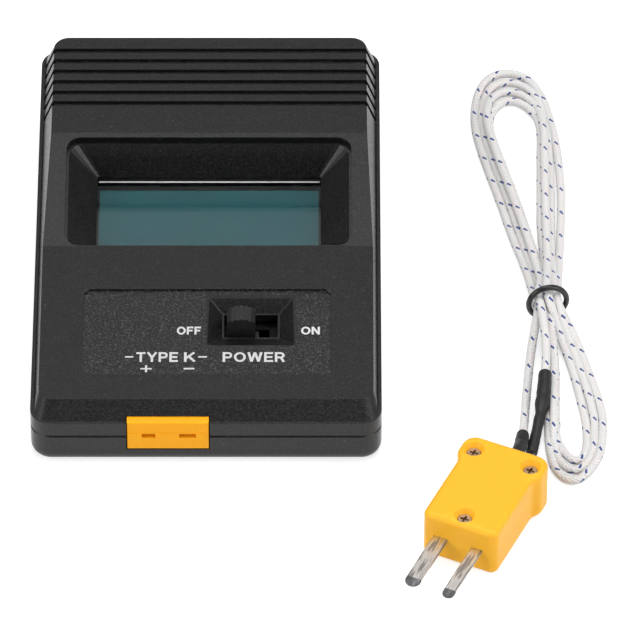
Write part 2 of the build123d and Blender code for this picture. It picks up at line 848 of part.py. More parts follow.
def plug_top_shell():
    half = extrude(Rectangle(60, 80), amount=plug_thickness)
    shell = (plug_body() & (Pos(0, 0, plug_mid) * half)) - plug_cavity()
    for place in plug_screw_places():
        shell -= rod(plug_screw_radius + screw_clearance, place, 0, plug_thickness)
        shell -= Pos(place[0], place[1], plug_thickness - plug_sink_depth) * Cylinder(
            plug_head_radius + 0.1, 2 * plug_head_height)
        sink = Cone(plug_head_radius + 0.1, plug_sink_radius, plug_sink_depth)
        shell -= Pos(place[0], place[1], plug_thickness - plug_sink_depth / 2) * sink
    return place_plug(shell)


def plug_bottom_shell():
    half = extrude(Rectangle(60, 80), amount=-plug_thickness)
    shell = (plug_body() & (Pos(0, 0, plug_mid) * half)) - plug_cavity()
    for place in plug_screw_places():
        shell -= rod(plug_screw_radius + screw_clearance, place, 1.4, plug_thickness)
    return place_plug(shell)


def plug_screws():
    screws = []
    seat = plug_thickness - plug_sink_depth - plug_head_height
    for place in plug_screw_places():
        screw = rod(plug_head_radius, place, seat, seat + plug_head_height)
        screw += rod(plug_screw_radius, place, 1.8, seat)
        screw -= cross_slot(place, seat + plug_head_height, 1.8, 1)
        screws.append(place_plug(screw))
    return Compound(children=screws)


def plug_blade(name):
    """A flat blade with a round, bevelled tip and a seat for its terminal screw."""
    x, width = blade_places()[name]
    front = -nose_screw_from_front
    tip = front - blade_length
    flat = Pos(x, (tip + width / 2 + front + blade_root) / 2) * Rectangle(
        width, front + blade_root - tip - width / 2)
    round_tip = Pos(x, tip + width / 2) * Circle(width / 2)
    blade = extrude(Pos(0, 0, plug_mid - blade_thickness / 2) * (flat + round_tip),
                    amount=blade_thickness)
    long_edges = blade.edges().filter_by(
        lambda e: abs(e.center().Z - plug_mid) > blade_thickness * 0.45)
    blade = fillet(long_edges, blade_round)
    blade -= rod(0.8 + screw_clearance, (x, front + 7.0), 0, plug_thickness)
    bevel = Pos(x, tip, plug_mid - 0.1) * Rot(blade_bevel, 0, 0) * Pos(0, 0, 2) * Box(6, 16, 4)
    return place_plug(blade - bevel)


def terminal_screws():
    screws = []
    front = -nose_screw_from_front
    top = plug_mid + blade_thickness / 2
    for x, width in blade_places().values():
        screw = rod(1.7, (x, front + 7.0), top, top + 1.1)
        screw += rod(0.8, (x, front + 7.0), plug_mid - 1.8, top)
        screw -= cross_slot((x, front + 7.0), top + 1.1, 2.2, 1)
        screws.append(place_plug(screw))
    return Compound(children=screws)


# ---------------------------------------------------------------- probe: cord
def cord_lead_route():
    """From inside the plug, down to the surface and up into the tied neck."""
    return [plug_point(0, plug_rear - 4, plug_mid), plug_point(0, plug_rear + 3.5, plug_mid),
            (64.2, -51.6, 3.2), (64.8, -44.6, 1.3), (65.5, -36.5, 0.95), (66.6, -27.5, 1.7),
            (68.6, -18.5, 3.4)]


def sensor_lead_route():
    """From the tied neck down to the sensor end."""
    return [(70.2, -17.6, 4.4), (69.8, -24.5, 4.2), (69.4, -31.5, 3.6), (68.7, -39.6, 3.0)]


def sensor_tail_route():
    return [(68.7, -39.6, 3.0), (67.6, -45.5, 2.0), (66.2, -52.6, 1.25)]


def sensor_wire_route(side):
    spread = side * 0.45
    return [(66.2 + spread * 0.8, -52.6, 1.25), (66.0 + spread, -54.0, 1.15),
            (65.9 + spread * 0.9, -55.2, 1.0), (65.9 + spread * 0.3, -56.4, 0.9)]


def cord_lead():
    return tube(cord_lead_route(), cord_diameter)


def cord_sleeve():
    route = cord_lead_route()[:4]
    outer = tube(route, sleeve_diameter)
    return outer - tube(cord_lead_route(), cord_diameter)


def sensor_lead():
    return tube(sensor_lead_route(), cord_diameter)


def sensor_sleeve():
    """A shrunk sleeve with two diameters: over the braid, and over the bare pair."""
    over_braid = sensor_lead_route()[2:]
    upper = tube(over_braid, sensor_sleeve_diameter)
    lower = tube(sensor_tail_route(), sensor_tail_diameter)
    return upper + lower - tube(sensor_lead_route(), cord_diameter)


def sensor_wires():
    return Compound(children=[tube(sensor_wire_route(side), wire_diameter) for side in (-1, 1)])


def sensor_bead():
    return Pos(65.9, -56.4 - bead_diameter / 2, 0.9) * Sphere(bead_diameter / 2)


def bundle_frame(shift=0.0):
    """A plane across the tied neck, on its axis; shift moves along the strands."""
    turn = radians(tie_turn)
    along = (-sin(turn), cos(turn), 0)
    origin = (tie_place[0] + along[0] * shift, tie_place[1] + along[1] * shift,
              tie_outer_diameter / 2)
    return Plane(origin=origin, x_dir=(cos(turn), sin(turn), 0), z_dir=along)


def cord_tie():
    ring = Torus((tie_outer_diameter - tie_section) / 2, tie_section / 2)
    return bundle_frame() * ring


def loop_slab(outer, inner, height):
    """A closed loop of strands as one slab with its opening."""
    ring = make_face(Spline(*outer, periodic=True)) - make_face(Spline(*inner, periodic=True))
    return extrude(ring, amount=height)


def cord_hank():
    """The outer shape of the wound cord: two loops and the neck that the tie holds."""
    upper = loop_slab(
        [(62.6, 67.2), (57.6, 64.4), (55.4, 57.8), (55.0, 49.0), (57.0, 38.0), (62.4, 14.2),
         (65.4, 2.3), (67.2, -5.0), (72.5, -6.0), (74.0, 4.0), (74.8, 17.0), (74.9, 29.0),
         (74.2, 41.6), (72.6, 53.8), (70.2, 62.3), (67.2, 66.0)],
        [(64.4, 57.0), (61.2, 54.0), (60.4, 47.6), (62.4, 37.6), (65.6, 25.0), (67.9, 16.0),
         (68.8, 20.0), (68.7, 28.0), (69.0, 38.8), (68.8, 49.0), (67.2, 55.4)],
        loop_height)
    lower = loop_slab(
        [(70.6, -15.0), (71.6, -25.0), (71.5, -39.0), (70.6, -49.0), (71.4, -58.6), (75.2, -61.4),
         (79.6, -57.4), (82.0, -47.0), (81.4, -36.8), (79.2, -27.0), (76.4, -17.2), (74.6, -14.6)],
        [(74.0, -27.0), (73.9, -36.0), (74.2, -47.0), (75.6, -51.6), (77.4, -47.0), (76.4, -38.0)],
        lower_loop_height)
    inside = tie_outer_diameter / 2 - tie_section - neck_clearance
    neck = extrude(bundle_frame(-6.5) * Circle(inside), amount=13.0)
    return upper + lower + neck


# ---------------------------------------------------------------- write the parts
nodes = {
    "upper_case": upper_case,
    "lower_case": lower_case,
    "battery_cover": battery_cover,
    "case_screws": case_screws,
    "display_window": display_window,
    "display_glass": display_glass,
    "display_polarizer": display_polarizer,
    "display_reflector": display_reflector,
    "display_frame": display_frame,
    "contact_strips": contact_strips,
    "main_board": main_board,
    "board_screws": board_screws,
    "converter_chip": converter_chip,
    "amplifier_chip": amplifier_chip,
    "trimmers": trimmers,
    "film_capacitors": film_capacitors,
    "resistors": resistors,
    "switch_base": switch_base,
    "switch_can": switch_can,
    "switch_slider": switch_slider,
    "power_knob": power_knob,
    "socket_housing": socket_housing,
    "socket_contact_positive": lambda: socket_contact("positive"),
    "socket_contact_negative": lambda: socket_contact("negative"),
    "battery": battery,
    "battery_snap": battery_snap,
    "battery_lead_red": lambda: tube(battery_lead(1.4), lead_diameter),
    "battery_lead_black": lambda: tube(battery_lead(-1.4), lead_diameter),
    "plug_top_shell": plug_top_shell,
    "plug_bottom_shell": plug_bottom_shell,
    "plug_screws": plug_screws,
    "plug_blade_negative": lambda: plug_blade("negative"),
    "plug_blade_positive": lambda: plug_blade("positive"),
    "terminal_screws": terminal_screws,
    "cord_lead": cord_lead,
    "cord_sleeve": cord_sleeve,
    "cord_hank": cord_hank,
    "cord_tie": cord_tie,
    "sensor_lead": sensor_lead,
    "sensor_sleeve": sensor_sleeve,
    "sensor_wires": sensor_wires,
    "sensor_bead": sensor_bead,
}

os.makedirs("parts", exist_ok=True)
for name, make in nodes.items():
    export_step(make(), f"parts/{name}.step")

for name, route in {"cord_lead": cord_lead_route(), "sensor_lead": sensor_lead_route(),
                    "sensor_tail": sensor_tail_route()}.items():
    print(name, "arc radii in mm:", [round(r, 1) for r in arc_radii(route)])
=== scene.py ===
# %% [markdown]
# # A pocket thermometer and its wire probe
#
# The object is a small wedge-shaped meter for a darkroom or workshop, with a two-pin
# probe that lies beside it: a yellow plug, a metre of white braided wire wound into a
# hank, and a bare sensor tip.  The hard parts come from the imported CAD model, each in
# its place.  This file gives every part its finish, and models what CAD is poor at:
# the braided wire, the shrunk sleeves, the printed lettering and the soft light.

import math
import random

import bpy
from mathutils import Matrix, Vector


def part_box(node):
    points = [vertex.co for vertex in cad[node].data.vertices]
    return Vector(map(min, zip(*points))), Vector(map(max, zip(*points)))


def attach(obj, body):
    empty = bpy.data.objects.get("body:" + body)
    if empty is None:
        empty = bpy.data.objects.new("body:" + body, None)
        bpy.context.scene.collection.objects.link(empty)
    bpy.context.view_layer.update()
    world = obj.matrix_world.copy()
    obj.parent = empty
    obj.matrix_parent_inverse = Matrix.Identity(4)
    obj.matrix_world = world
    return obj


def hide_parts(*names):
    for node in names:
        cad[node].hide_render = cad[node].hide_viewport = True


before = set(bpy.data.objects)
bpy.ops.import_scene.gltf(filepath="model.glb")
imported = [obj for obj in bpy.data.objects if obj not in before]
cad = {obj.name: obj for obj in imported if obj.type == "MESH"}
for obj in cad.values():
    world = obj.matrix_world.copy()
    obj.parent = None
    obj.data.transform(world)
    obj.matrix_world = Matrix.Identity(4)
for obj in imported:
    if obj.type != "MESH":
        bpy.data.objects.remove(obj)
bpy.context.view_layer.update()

MM = 0.001

# %% [markdown]
# ## The camera
#
# A small product is usually shown through a long lens from far away, so that its near
# and far edges stay nearly parallel.  The camera stands 1.67 m off, 42.5 degrees above
# the table, and looks at the middle of the meter and its probe.

# %% Camera
aim = Vector((23.15, -11.0, 0.0)) * MM
height_angle = math.radians(42.5)
camera_distance = 1.67
camera_data = bpy.data.cameras.new("product_camera")
camera_data.sensor_width = 36.0
camera_data.lens = 452.8
camera_data.clip_start = 0.05
camera_data.clip_end = 20.0
camera = bpy.data.objects.new("product_camera", camera_data)
bpy.context.scene.collection.objects.link(camera)
away = Vector((0.0, -math.cos(height_angle), math.sin(height_angle)))
camera.location = aim + away * camera_distance
camera.rotation_euler = (math.pi / 2 - height_angle, 0.0, 0.0)
bpy.context.scene.camera = camera
print("camera at", [round(c, 3) for c in camera.location])

# %% [markdown]
# ## The wire's route
#
# The probe wire is limp: two thin conductors in a woven glass sleeve, 1.8 mm across.
# It leaves the plug, runs up beside it, and is wound into a long hank with a rubber
# ring round its neck: four turns above the ring and three below.  The turns are tight
# where the ring holds them and fan out at both ends.  The outer and the inner turn are
# given station by station, and a loop works out the turns between them.

# %% Route of the wire, in millimetres
lead_points = [
    (59.92, -64.33, 5.65), (63.09, -57.54, 5.65), (64.2, -51.6, 3.2), (64.8, -44.6, 1.3),
    (65.4, -36.5, 0.95), (66.1, -27.5, 1.1), (67.2, -18.5, 2.4)]
sensor_points = [
    (69.4, -18.0, 5.0), (69.8, -24.5, 4.2), (69.4, -31.5, 3.6), (68.7, -39.6, 3.0)]
tail_points = [(67.6, -45.5, 2.0), (66.2, -52.6, 1.25)]

# each station: the outer turn's place and the inner turn's place
upper_stations = [
    ((66.3, 2.5), (68.9, 2.5)), ((63.3, 14.4), (66.8, 14.4)), ((61.0, 25.4), (64.5, 25.4)),
    ((57.9, 38.2), (61.3, 38.2)), ((56.0, 49.0), (59.2, 47.5)), ((56.5, 58.0), (59.5, 53.0)),
    ((58.6, 64.2), (61.6, 56.6)), ((62.6, 66.6), (64.2, 57.6)), ((66.9, 65.4), (67.1, 55.6)),
    ((69.8, 60.9), (69.4, 52.4)), ((71.9, 53.0), (70.2, 47.5)), ((73.4, 41.4), (69.9, 38.8)),
    ((74.0, 28.3), (69.6, 27.8)), ((73.8, 17.0), (69.5, 17.0)), ((73.0, 4.0), (70.0, 4.5))]
lower_stations = [
    ((75.6, -17.0), (72.6, -17.0)), ((78.3, -27.1), (75.1, -27.1)),
    ((80.6, -37.0), (76.7, -37.0)), ((81.2, -44.5), (77.8, -44.0)),
    ((80.0, -54.0), (77.6, -52.2)), ((75.2, -61.2), (75.4, -55.0)),
    ((70.8, -57.8), (72.6, -51.8)), ((69.9, -50.5), (71.4, -47.0)),
    ((69.8, -43.7), (71.5, -44.0)), ((69.8, -36.2), (71.5, -36.2)),
    ((69.9, -27.8), (71.7, -27.8)), ((70.0, -19.5), (71.2, -20.0))]
upper_turns = [0.0, 0.5, 0.78, 1.0]
lower_turns = [0.0, 0.5, 1.0]
wire_diameter = 1.8
rest_height = wire_diameter / 2
print("stations:", len(upper_stations), "above the ring,", len(lower_stations), "below")

# %% The ring round the neck holds eight runs: one in the middle, seven round it
tie_centre = (70.3, -10.5)
tie_turn = math.radians(11.4)
neck_height = 4.3
neck_radius = 2.3
neck_reach = 1.6
neck_angles = [192.9, -12.9, -115.7, 38.6, None, 90.0, -64.3, 141.4]
across = Vector((math.cos(tie_turn), math.sin(tie_turn)))
along = Vector((-math.sin(tie_turn), math.cos(tie_turn)))


def neck_point(run, shift):
    """Where run number 0 to 7 passes the ring; shift moves along the neck."""
    angle = neck_angles[run]
    side, rise = 0.0, 0.0
    if angle is not None:
        side = neck_radius * math.cos(math.radians(angle))
        rise = neck_radius * math.sin(math.radians(angle))
    place = Vector(tie_centre) + across * side + along * shift
    return (place.x, place.y, neck_height + rise)


# %% Where a turn rides on its neighbours
# Where the outer and the inner turn come closer than the room, in millimetres, one of
# the turns between them climbs, and the ease is how soon it does.
second_layer = 1.55
upper_room, upper_ease = 8.5, 3.0
lower_room, lower_ease = 3.2, 0.8
riding_turn_above, riding_turn_below = 2, 1
lower_bend = 4


def riding_height(is_upper, turn, width, index):
    """A turn that has no room on the table rides on its neighbours."""
    if is_upper and turn == riding_turn_above:
        return second_layer * min(1, max(0, (upper_room - width) / upper_ease))
    if not is_upper and turn == riding_turn_below and index > lower_bend:
        return second_layer * min(1, max(0, (lower_room - width) / lower_ease))
    return 0.0


print("a turn with 6 mm of room rides at", riding_height(True, 2, 6.0, 0))

# %% Turns of the hank
unevenness = random.Random(7)
wander = 0.12
neck_lift = 0.6
riding_start, riding_share = 0.6, 0.8
fan_start, fan_ease = 4.5, 4.0


def turn_points(stations, turn, share, is_upper):
    """One turn's points: a share of the way from the outer turn to the inner one."""
    points = []
    last = len(stations) - 1
    for index, (outer, inner) in enumerate(stations):
        outer, inner = Vector(outer), Vector(inner)
        rise = riding_height(is_upper, turn, (outer - inner).length, index)
        part = riding_share if rise > riding_start and not is_upper else share
        if is_upper:
            fanned = min(1, max(0, ((outer - inner).length - fan_start) / fan_ease))
            part = share + (turn / (len(upper_turns) - 1) - share) * fanned
        place = outer.lerp(inner, part)
        if 0 < index < last:
            place.x += unevenness.uniform(-wander, wander)
            place.y += unevenness.uniform(-wander, wander)
        else:
            rise += neck_lift
        points.append((place.x, place.y, rest_height + rise))
    return points


wire_points = list(lead_points)
for turn, share in enumerate(upper_turns):
    wire_points += [neck_point(2 * turn, -neck_reach), neck_point(2 * turn, neck_reach)]
    wire_points += turn_points(upper_stations, turn, share, True)
    wire_points += [neck_point(2 * turn + 1, neck_reach),
                    neck_point(2 * turn + 1, -neck_reach)]
    if turn < len(lower_turns):
        wire_points += turn_points(lower_stations, turn, lower_turns[turn], False)
wire_points += sensor_points
print("control points of the wire:", len(wire_points))

# %% [markdown]
# ## From route to smooth line
#
# A NURBS curve turns the route's points into one smooth line, the way a limp wire
# would lie.  The curve's own mesh then gives close points, which every tube follows.

# %% Smooth line


def smooth_line(points, name):
    """Close points along one NURBS curve through the route, in metres."""
    data = bpy.data.curves.new(name, "CURVE")
    data.dimensions = "3D"
    data.resolution_u = 10
    spline = data.splines.new("NURBS")
    spline.points.add(len(points) - 1)
    for control, place in zip(spline.points, points):
        control.co = (place[0] * MM, place[1] * MM, place[2] * MM, 1.0)
    spline.order_u = 3
    spline.use_endpoint_u = True
    holder = bpy.data.objects.new(name, data)
    bpy.context.scene.collection.objects.link(holder)
    mesh = bpy.data.meshes.new_from_object(holder)
    line = [v.co.copy() for v in mesh.vertices]
    bpy.data.objects.remove(holder)
    bpy.data.meshes.remove(mesh)
    return line


def line_length(line):
    return sum((b - a).length for a, b in zip(line, line[1:]))


wire_line = smooth_line(wire_points, "wire_route")
print("wire length in metres:", round(line_length(wire_line), 3), "points", len(wire_line))

# %% [markdown]
# ## A tube along a line
#
# A round tube needs a frame at each point that doesn't spin, so each ring of the tube
# is carried over from the one before it by the smallest turn.  The tube gets its own
# UV map: once round it, and millimetres along it, so that a woven pattern can follow.

# %% Tube builder


def tube(name, line, radius_at, sides):
    """A mesh tube; radius_at(distance in mm, angle) gives its radius in mm."""
    ring_starts = []
    vertices, faces, distances = [], [], []
    heading = (line[1] - line[0]).normalized()
    side = heading.orthogonal().normalized()
    travelled = 0.0
    for index, place in enumerate(line):
        if index > 0:
            travelled += (place - line[index - 1]).length
        ahead = line[min(index + 1, len(line) - 1)] - line[max(index - 1, 0)]
        new_heading = ahead.normalized()
        side = heading.rotation_difference(new_heading) @ side
        side = (side - new_heading * side.dot(new_heading)).normalized()
        heading = new_heading
        other = heading.cross(side)
        ring_starts.append(len(vertices))
        distances.append(travelled / MM)
        for step in range(sides):
            angle = 2 * math.pi * step / sides
            radius = radius_at(travelled / MM, angle) * MM
            offset = side * math.cos(angle) + other * math.sin(angle)
            vertices.append(place + offset * radius)
    for low, high in zip(ring_starts, ring_starts[1:]):
        for step in range(sides):
            after = (step + 1) % sides
            faces.append((low + step, low + after, high + after, high + step))
    faces.append(tuple(reversed(range(sides))))
    faces.append(tuple(range(ring_starts[-1], ring_starts[-1] + sides)))
    mesh = bpy.data.meshes.new(name)
    mesh.from_pydata(vertices, [], faces)
    layer = mesh.uv_layers.new(name="along_wire")
    body_faces = (len(ring_starts) - 1) * sides
    for number in range(body_faces):
        ring, step = divmod(number, sides)
        corners = [(step, ring), (step + 1, ring), (step + 1, ring + 1), (step, ring + 1)]
        for corner, (around, level) in zip(mesh.polygons[number].loop_indices, corners):
            layer.data[corner].uv = (around / sides, distances[level])
    for polygon in mesh.polygons:
        polygon.use_smooth = True
    mesh.update()
    piece = bpy.data.objects.new(name, mesh)
    bpy.context.scene.collection.objects.link(piece)
    return piece


# %% Part of a line between two distances


def part_of_line(line, start, end):
    """The stretch of a line from start to end, in millimetres along it."""
    kept = []
    travelled = 0.0
    for index, place in enumerate(line):
        if index > 0:
            travelled += (place - line[index - 1]).length / MM
        if start <= travelled <= end:
            kept.append(place)
    return kept


# %% The braided wire


def braid_radius(distance, angle):
    """The woven sleeve isn't quite round, and swells a little here and there."""
    flat = 0.022 * math.cos(2 * angle + distance * 0.11)
    swell = 0.012 * math.sin(distance * 0.9) + 0.008 * math.sin(distance * 2.3 + 1.0)
    return wire_diameter / 2 * (1 + flat + swell)


braided_wire = tube("braided_wire", wire_line, braid_radius, sides=14)
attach(braided_wire, "probe")
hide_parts("cord_hank", "cord_lead", "sensor_lead")
print("wire faces:", len(braided_wire.data.polygons))

# %% [markdown]
# ## Shrunk sleeves
#
# Black sleeving, shrunk on with heat, closes both ends of the braid.  It takes the
# shape of what is under it: a step where it leaves the braid, faint rings where the
# heat pulled it in unevenly, and a mouth that stands slightly open.  A plain tube
# would miss all of that, so each sleeve's radius changes along it.

# %% Sleeve at the plug


def bulge(distance, place, width):
    """A smooth hump from 0 to 1 round one place along a sleeve."""
    return math.exp(-((distance - place) / width) ** 2)


def plug_sleeve_radius(distance, angle):
    radius = 1.34 - 0.08 * bulge(distance, 9.4, 0.9) + 0.1 * bulge(distance, 11.2, 0.8)
    radius += 0.035 * math.sin(distance * 2.6 + 0.6 * math.sin(angle))
    radius += 0.05 * math.sin(2 * angle + distance * 0.7)
    return radius


sleeve_sides = 28
plug_sleeve_from, plug_sleeve_to = 3.5, 17.6
plug_sleeve_line = part_of_line(wire_line, plug_sleeve_from, plug_sleeve_to)
plug_sleeve = tube("plug_sleeve", plug_sleeve_line, plug_sleeve_radius, sleeve_sides)
print("plug sleeve in mm:", round(line_length(plug_sleeve_line) / MM, 1))

# %% Sleeve at the sensor
sensor_sleeve_from = 6.4
sensor_line = smooth_line(sensor_points[1:] + tail_points, "sensor_route")
sensor_length = line_length(sensor_line) / MM
print("sensor stretch in mm:", round(sensor_length, 1))


def sensor_sleeve_radius(distance, angle):
    step = 1 / (1 + math.exp((distance - 9.6) * 1.8))
    radius = 1.13 + 0.3 * step
    radius += 0.13 * bulge(distance, 8.9, 0.8) - 0.07 * bulge(distance, 6.6, 0.8)
    radius += 0.09 * bulge(distance, 13.2, 0.9) - 0.05 * bulge(distance, 11.4, 0.7)
    radius += 0.03 * math.sin(distance * 2.7 + 0.9 * math.sin(angle))
    radius += 0.06 * math.sin(2 * angle + distance * 0.45)
    return radius


sensor_sleeve_line = part_of_line(sensor_line, sensor_sleeve_from, sensor_length)
sensor_sleeve = tube("sensor_sleeve_cover", sensor_sleeve_line, sensor_sleeve_radius,
                     sleeve_sides)

# %% Round the sleeves' mouths


def select_only(piece):
    bpy.ops.object.select_all(action="DESELECT")
    piece.select_set(True)
    bpy.context.view_layer.objects.active = piece


def apply_modifier(piece, kind, name, **settings):
    modifier = piece.modifiers.new(name, kind)
    for key, value in settings.items():
        setattr(modifier, key, value)
    select_only(piece)
    bpy.ops.object.modifier_apply(modifier=name)


for sleeve, cad_name in ((plug_sleeve, "cord_sleeve"), (sensor_sleeve, "sensor_sleeve")):
    apply_modifier(sleeve, "BEVEL", "mouth", width=0.16 * MM, segments=3,
                   limit_method="ANGLE", angle_limit=math.radians(50))
    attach(sleeve, "probe")
    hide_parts(cad_name)
    print(sleeve.name, "faces", len(sleeve.data.polygons))

# %% [markdown]
# ## Finishes
#
# Every finish starts from the same shader and gets its own small-scale detail: grain
# that catches the light, patches where handling has polished the surface, and slight
# changes of colour.  All patterns sit on the object's own coordinates in metres, so a
# texture scale of 4000 makes marks about a quarter of a millimetre apart.

# %% Start of a finish


class Finish:
    """A material with one Principled shader, and helpers that add detail to it."""

    def __init__(self, name, colour, roughness, metallic=0.0):
        self.material = bpy.data.materials.new(name)
        self.material.use_nodes = True
        self.tree = self.material.node_tree
        self.tree.nodes.clear()
        output = self.tree.nodes.new("ShaderNodeOutputMaterial")
        self.shader = self.tree.nodes.new("ShaderNodeBsdfPrincipled")
        self.tree.links.new(self.shader.outputs["BSDF"], output.inputs["Surface"])
        self.set("Base Color", (*colour, 1.0))
        self.set("Roughness", roughness)
        self.set("Metallic", metallic)
        self.coordinates = self.tree.nodes.new("ShaderNodeTexCoord").outputs["Object"]
        self.material.diffuse_color = (*colour, 1.0)

    def set(self, socket, value):
        self.shader.inputs[socket].default_value = value

    def add(self, kind, settings=None, **inputs):
        """A node of this kind, with settings and values or links for its inputs."""
        made = self.tree.nodes.new("ShaderNode" + kind)
        for key, value in (settings or {}).items():
            setattr(made, key, value)
        for key, value in inputs.items():
            self.join(value, made.inputs[key.replace("_", " ")])
        return made

    def join(self, value, socket):
        if isinstance(value, bpy.types.NodeSocket):
            self.tree.links.new(value, socket)
        else:
            socket.default_value = value

    def math(self, operation, a, b=None, c=None):
        made = self.tree.nodes.new("ShaderNodeMath")
        made.operation = operation
        for number, value in enumerate((a, b, c)):
            if value is not None:
                self.join(value, made.inputs[number])
        return made.outputs[0]

    def noise(self, scale, detail=3.0, roughness=0.55):
        made = self.add("TexNoise", Vector=self.coordinates, Scale=scale, Detail=detail,
                        Roughness=roughness)
        return made.outputs["Fac"]

    def spread(self, value, low, high, to_low, to_high):
        """Stretches a pattern's range low..high to to_low..to_high, with smooth ends."""
        made = self.add("MapRange", {"interpolation_type": "SMOOTHSTEP"}, Value=value)
        for socket, number in (("From Min", low), ("From Max", high), ("To Min", to_low),
                               ("To Max", to_high)):
            made.inputs[socket].default_value = number
        return made.outputs["Result"]

    def relief(self, height, depth_mm, strength=1.0):
        """Adds a bump on top of the bumps that are there already."""
        made = self.add("Bump", Height=height, Distance=depth_mm * MM, Strength=strength)
        socket = self.shader.inputs["Normal"]
        if socket.is_linked:
            self.tree.links.new(socket.links[0].from_socket, made.inputs["Normal"])
        self.tree.links.new(made.outputs["Normal"], socket)

    def tint(self, amount, colour):
        """Mixes a second colour over the base colour, by a pattern from 0 to 1."""
        made = self.tree.nodes.new("ShaderNodeMix")
        made.data_type = "RGBA"
        socket = self.shader.inputs["Base Color"]
        self.join(amount, made.inputs[0])
        if socket.is_linked:
            self.tree.links.new(socket.links[0].from_socket, made.inputs[6])
        else:
            made.inputs[6].default_value = socket.default_value
        made.inputs[7].default_value = (*colour, 1.0)
        self.tree.links.new(made.outputs[2], socket)

    def polish(self, scale, low, high):
        """Patches of the surface that handling has made smoother or duller."""
        patches = self.spread(self.noise(scale, 4.0), 0.3, 0.7, low, high)
        self.join(patches, self.shader.inputs["Roughness"])


# %% Finishes for the nodes


def paint(node_name, finish):
    """Gives a CAD node this finish."""
    for place in cad[node_name].material_slots:
        place.material = finish.material
    print(node_name, "gets", finish.material.name)


# %% [markdown]
# ## Case plastic
#
# The case is moulded in dark charcoal ABS.  The mould was spark-eroded, which leaves a
# fine even grain on the outside and a coarser grain on the sunk label panel round the
# switch.  Both grains are noise, used as a bump and as a faint change of colour, and the
# coarse one is only let through inside the panel's outline and outside the switch window.
# Its lighter specks are partly grain tone and partly painted glints.  The steep side walls
# are a little smoother than the top.

# %% Where the label panel is
label_half_width = 25.3 * MM
label_front, label_back = -42.6 * MM, -18.3 * MM
label_floor = 11.0 * MM
window_centre = Vector((9.0, -27.0)) * MM
window_half = Vector((9.1, 7.3)) * MM


def label_mask(finish):
    """1 on the label panel, 0 in its switch window and everywhere else."""
    apart = finish.add("SeparateXYZ", Vector=finish.coordinates)
    x, y, z = apart.outputs[0], apart.outputs[1], apart.outputs[2]
    inside = finish.math("LESS_THAN", finish.math("ABSOLUTE", x), label_half_width)
    above = finish.math("GREATER_THAN", z, label_floor)
    front = finish.math("GREATER_THAN", y, label_front)
    back = finish.math("LESS_THAN", y, label_back)
    panel = finish.math("MULTIPLY", inside, above)
    panel = finish.math("MULTIPLY", panel, finish.math("MULTIPLY", front, back))
    from_knob_x = finish.math("ABSOLUTE", finish.math("SUBTRACT", x, window_centre.x))
    from_knob_y = finish.math("ABSOLUTE", finish.math("SUBTRACT", y, window_centre.y))
    beside = finish.math("GREATER_THAN", from_knob_x, window_half.x)
    beyond = finish.math("GREATER_THAN", from_knob_y, window_half.y)
    return finish.math("MULTIPLY", panel, finish.math("MAXIMUM", beside, beyond))


print("label panel in mm:", round(2 * label_half_width / MM, 1), "by",
      round((label_back - label_front) / MM, 1))

# %% Case finish
charcoal = (0.0038, 0.0038, 0.004)


def case_finish(name):
    finish = Finish(name, charcoal, 0.4)
    finish.set("Specular IOR Level", 0.42)
    panel = label_mask(finish)
    fine = finish.noise(2700.0, 2.0, 0.6)
    coarse = finish.noise(2300.0, 2.0, 0.65)
    finish.relief(fine, 0.05, 0.8)
    finish.relief(finish.math("MULTIPLY", coarse, panel), 0.12, 0.9)
    finish.polish(1300.0, 0.29, 0.39)
    facing = finish.add("SeparateXYZ", Vector=finish.add("NewGeometry").outputs["Normal"])
    flank = finish.spread(finish.math("ABSOLUTE", facing.outputs[0]), 0.75, 0.9, 1.0, 0.6)
    rough = finish.shader.inputs["Roughness"]
    finish.join(finish.math("MULTIPLY", rough.links[0].from_socket, flank), rough)
    faint = finish.spread(fine, 0.5, 0.64, 0.0, 0.9)
    finish.tint(faint, (0.018, 0.018, 0.018))
    # Lighter specks on the label panel: partly the coarse grain's own tone, partly painted
    # glints.
    specks_and_glints = finish.spread(coarse, 0.53, 0.66, 0.0, 0.8)
    finish.tint(finish.math("MULTIPLY", specks_and_glints, panel), (0.075, 0.075, 0.075))
    dust = finish.spread(finish.noise(1100.0, 1.0), 0.76, 0.8, 0.0, 0.3)
    finish.tint(dust, (0.12, 0.12, 0.12))
    return finish


paint("upper_case", case_finish("charcoal_abs_upper"))
paint("lower_case", case_finish("charcoal_abs_lower"))
paint("battery_cover", case_finish("charcoal_abs_cover"))

# %% [markdown]
# ## The display
#
# A clear acrylic pane sits in the bottom of the sunk window.  Under it lie the liquid
# crystal glass, its polarizing film and a reflector, and together they give the dark
# blue-green of a display that is switched off.

# %% Display finishes
pane = Finish("clear_acrylic", (0.93, 0.97, 0.97), 0.03)
pane.set("Transmission Weight", 1.0)
pane.set("IOR", 1.36)
pane.set("Specular IOR Level", 0.22)
scratches = pane.spread(pane.noise(900.0, 5.0, 0.7), 0.68, 0.8, 0.02, 0.09)
pane.join(scratches, pane.shader.inputs["Roughness"])
pane.relief(pane.noise(90.0, 2.0), 0.01, 0.15)
paint("display_window", pane)

crystal = Finish("display_glass_cell", (0.62, 0.86, 0.86), 0.04)
crystal.set("Transmission Weight", 1.0)
crystal.set("IOR", 1.5)
crystal.relief(crystal.noise(300.0, 2.0), 0.005, 0.1)
paint("display_glass", crystal)

film = Finish("polarizing_film", (0.008, 0.1, 0.118), 0.4)
film.tint(film.spread(film.noise(35.0), 0.3, 0.75, 0.0, 0.35), (0.015, 0.14, 0.14))
film.relief(film.noise(2600.0, 2.0), 0.01, 0.2)
paint("display_polarizer", film)

reflector = Finish("display_reflector_film", (0.42, 0.5, 0.48), 0.4, 0.35)
reflector.relief(reflector.noise(5200.0, 1.0), 0.01, 0.5)
reflector.polish(400.0, 0.32, 0.5)
paint("display_reflector", reflector)

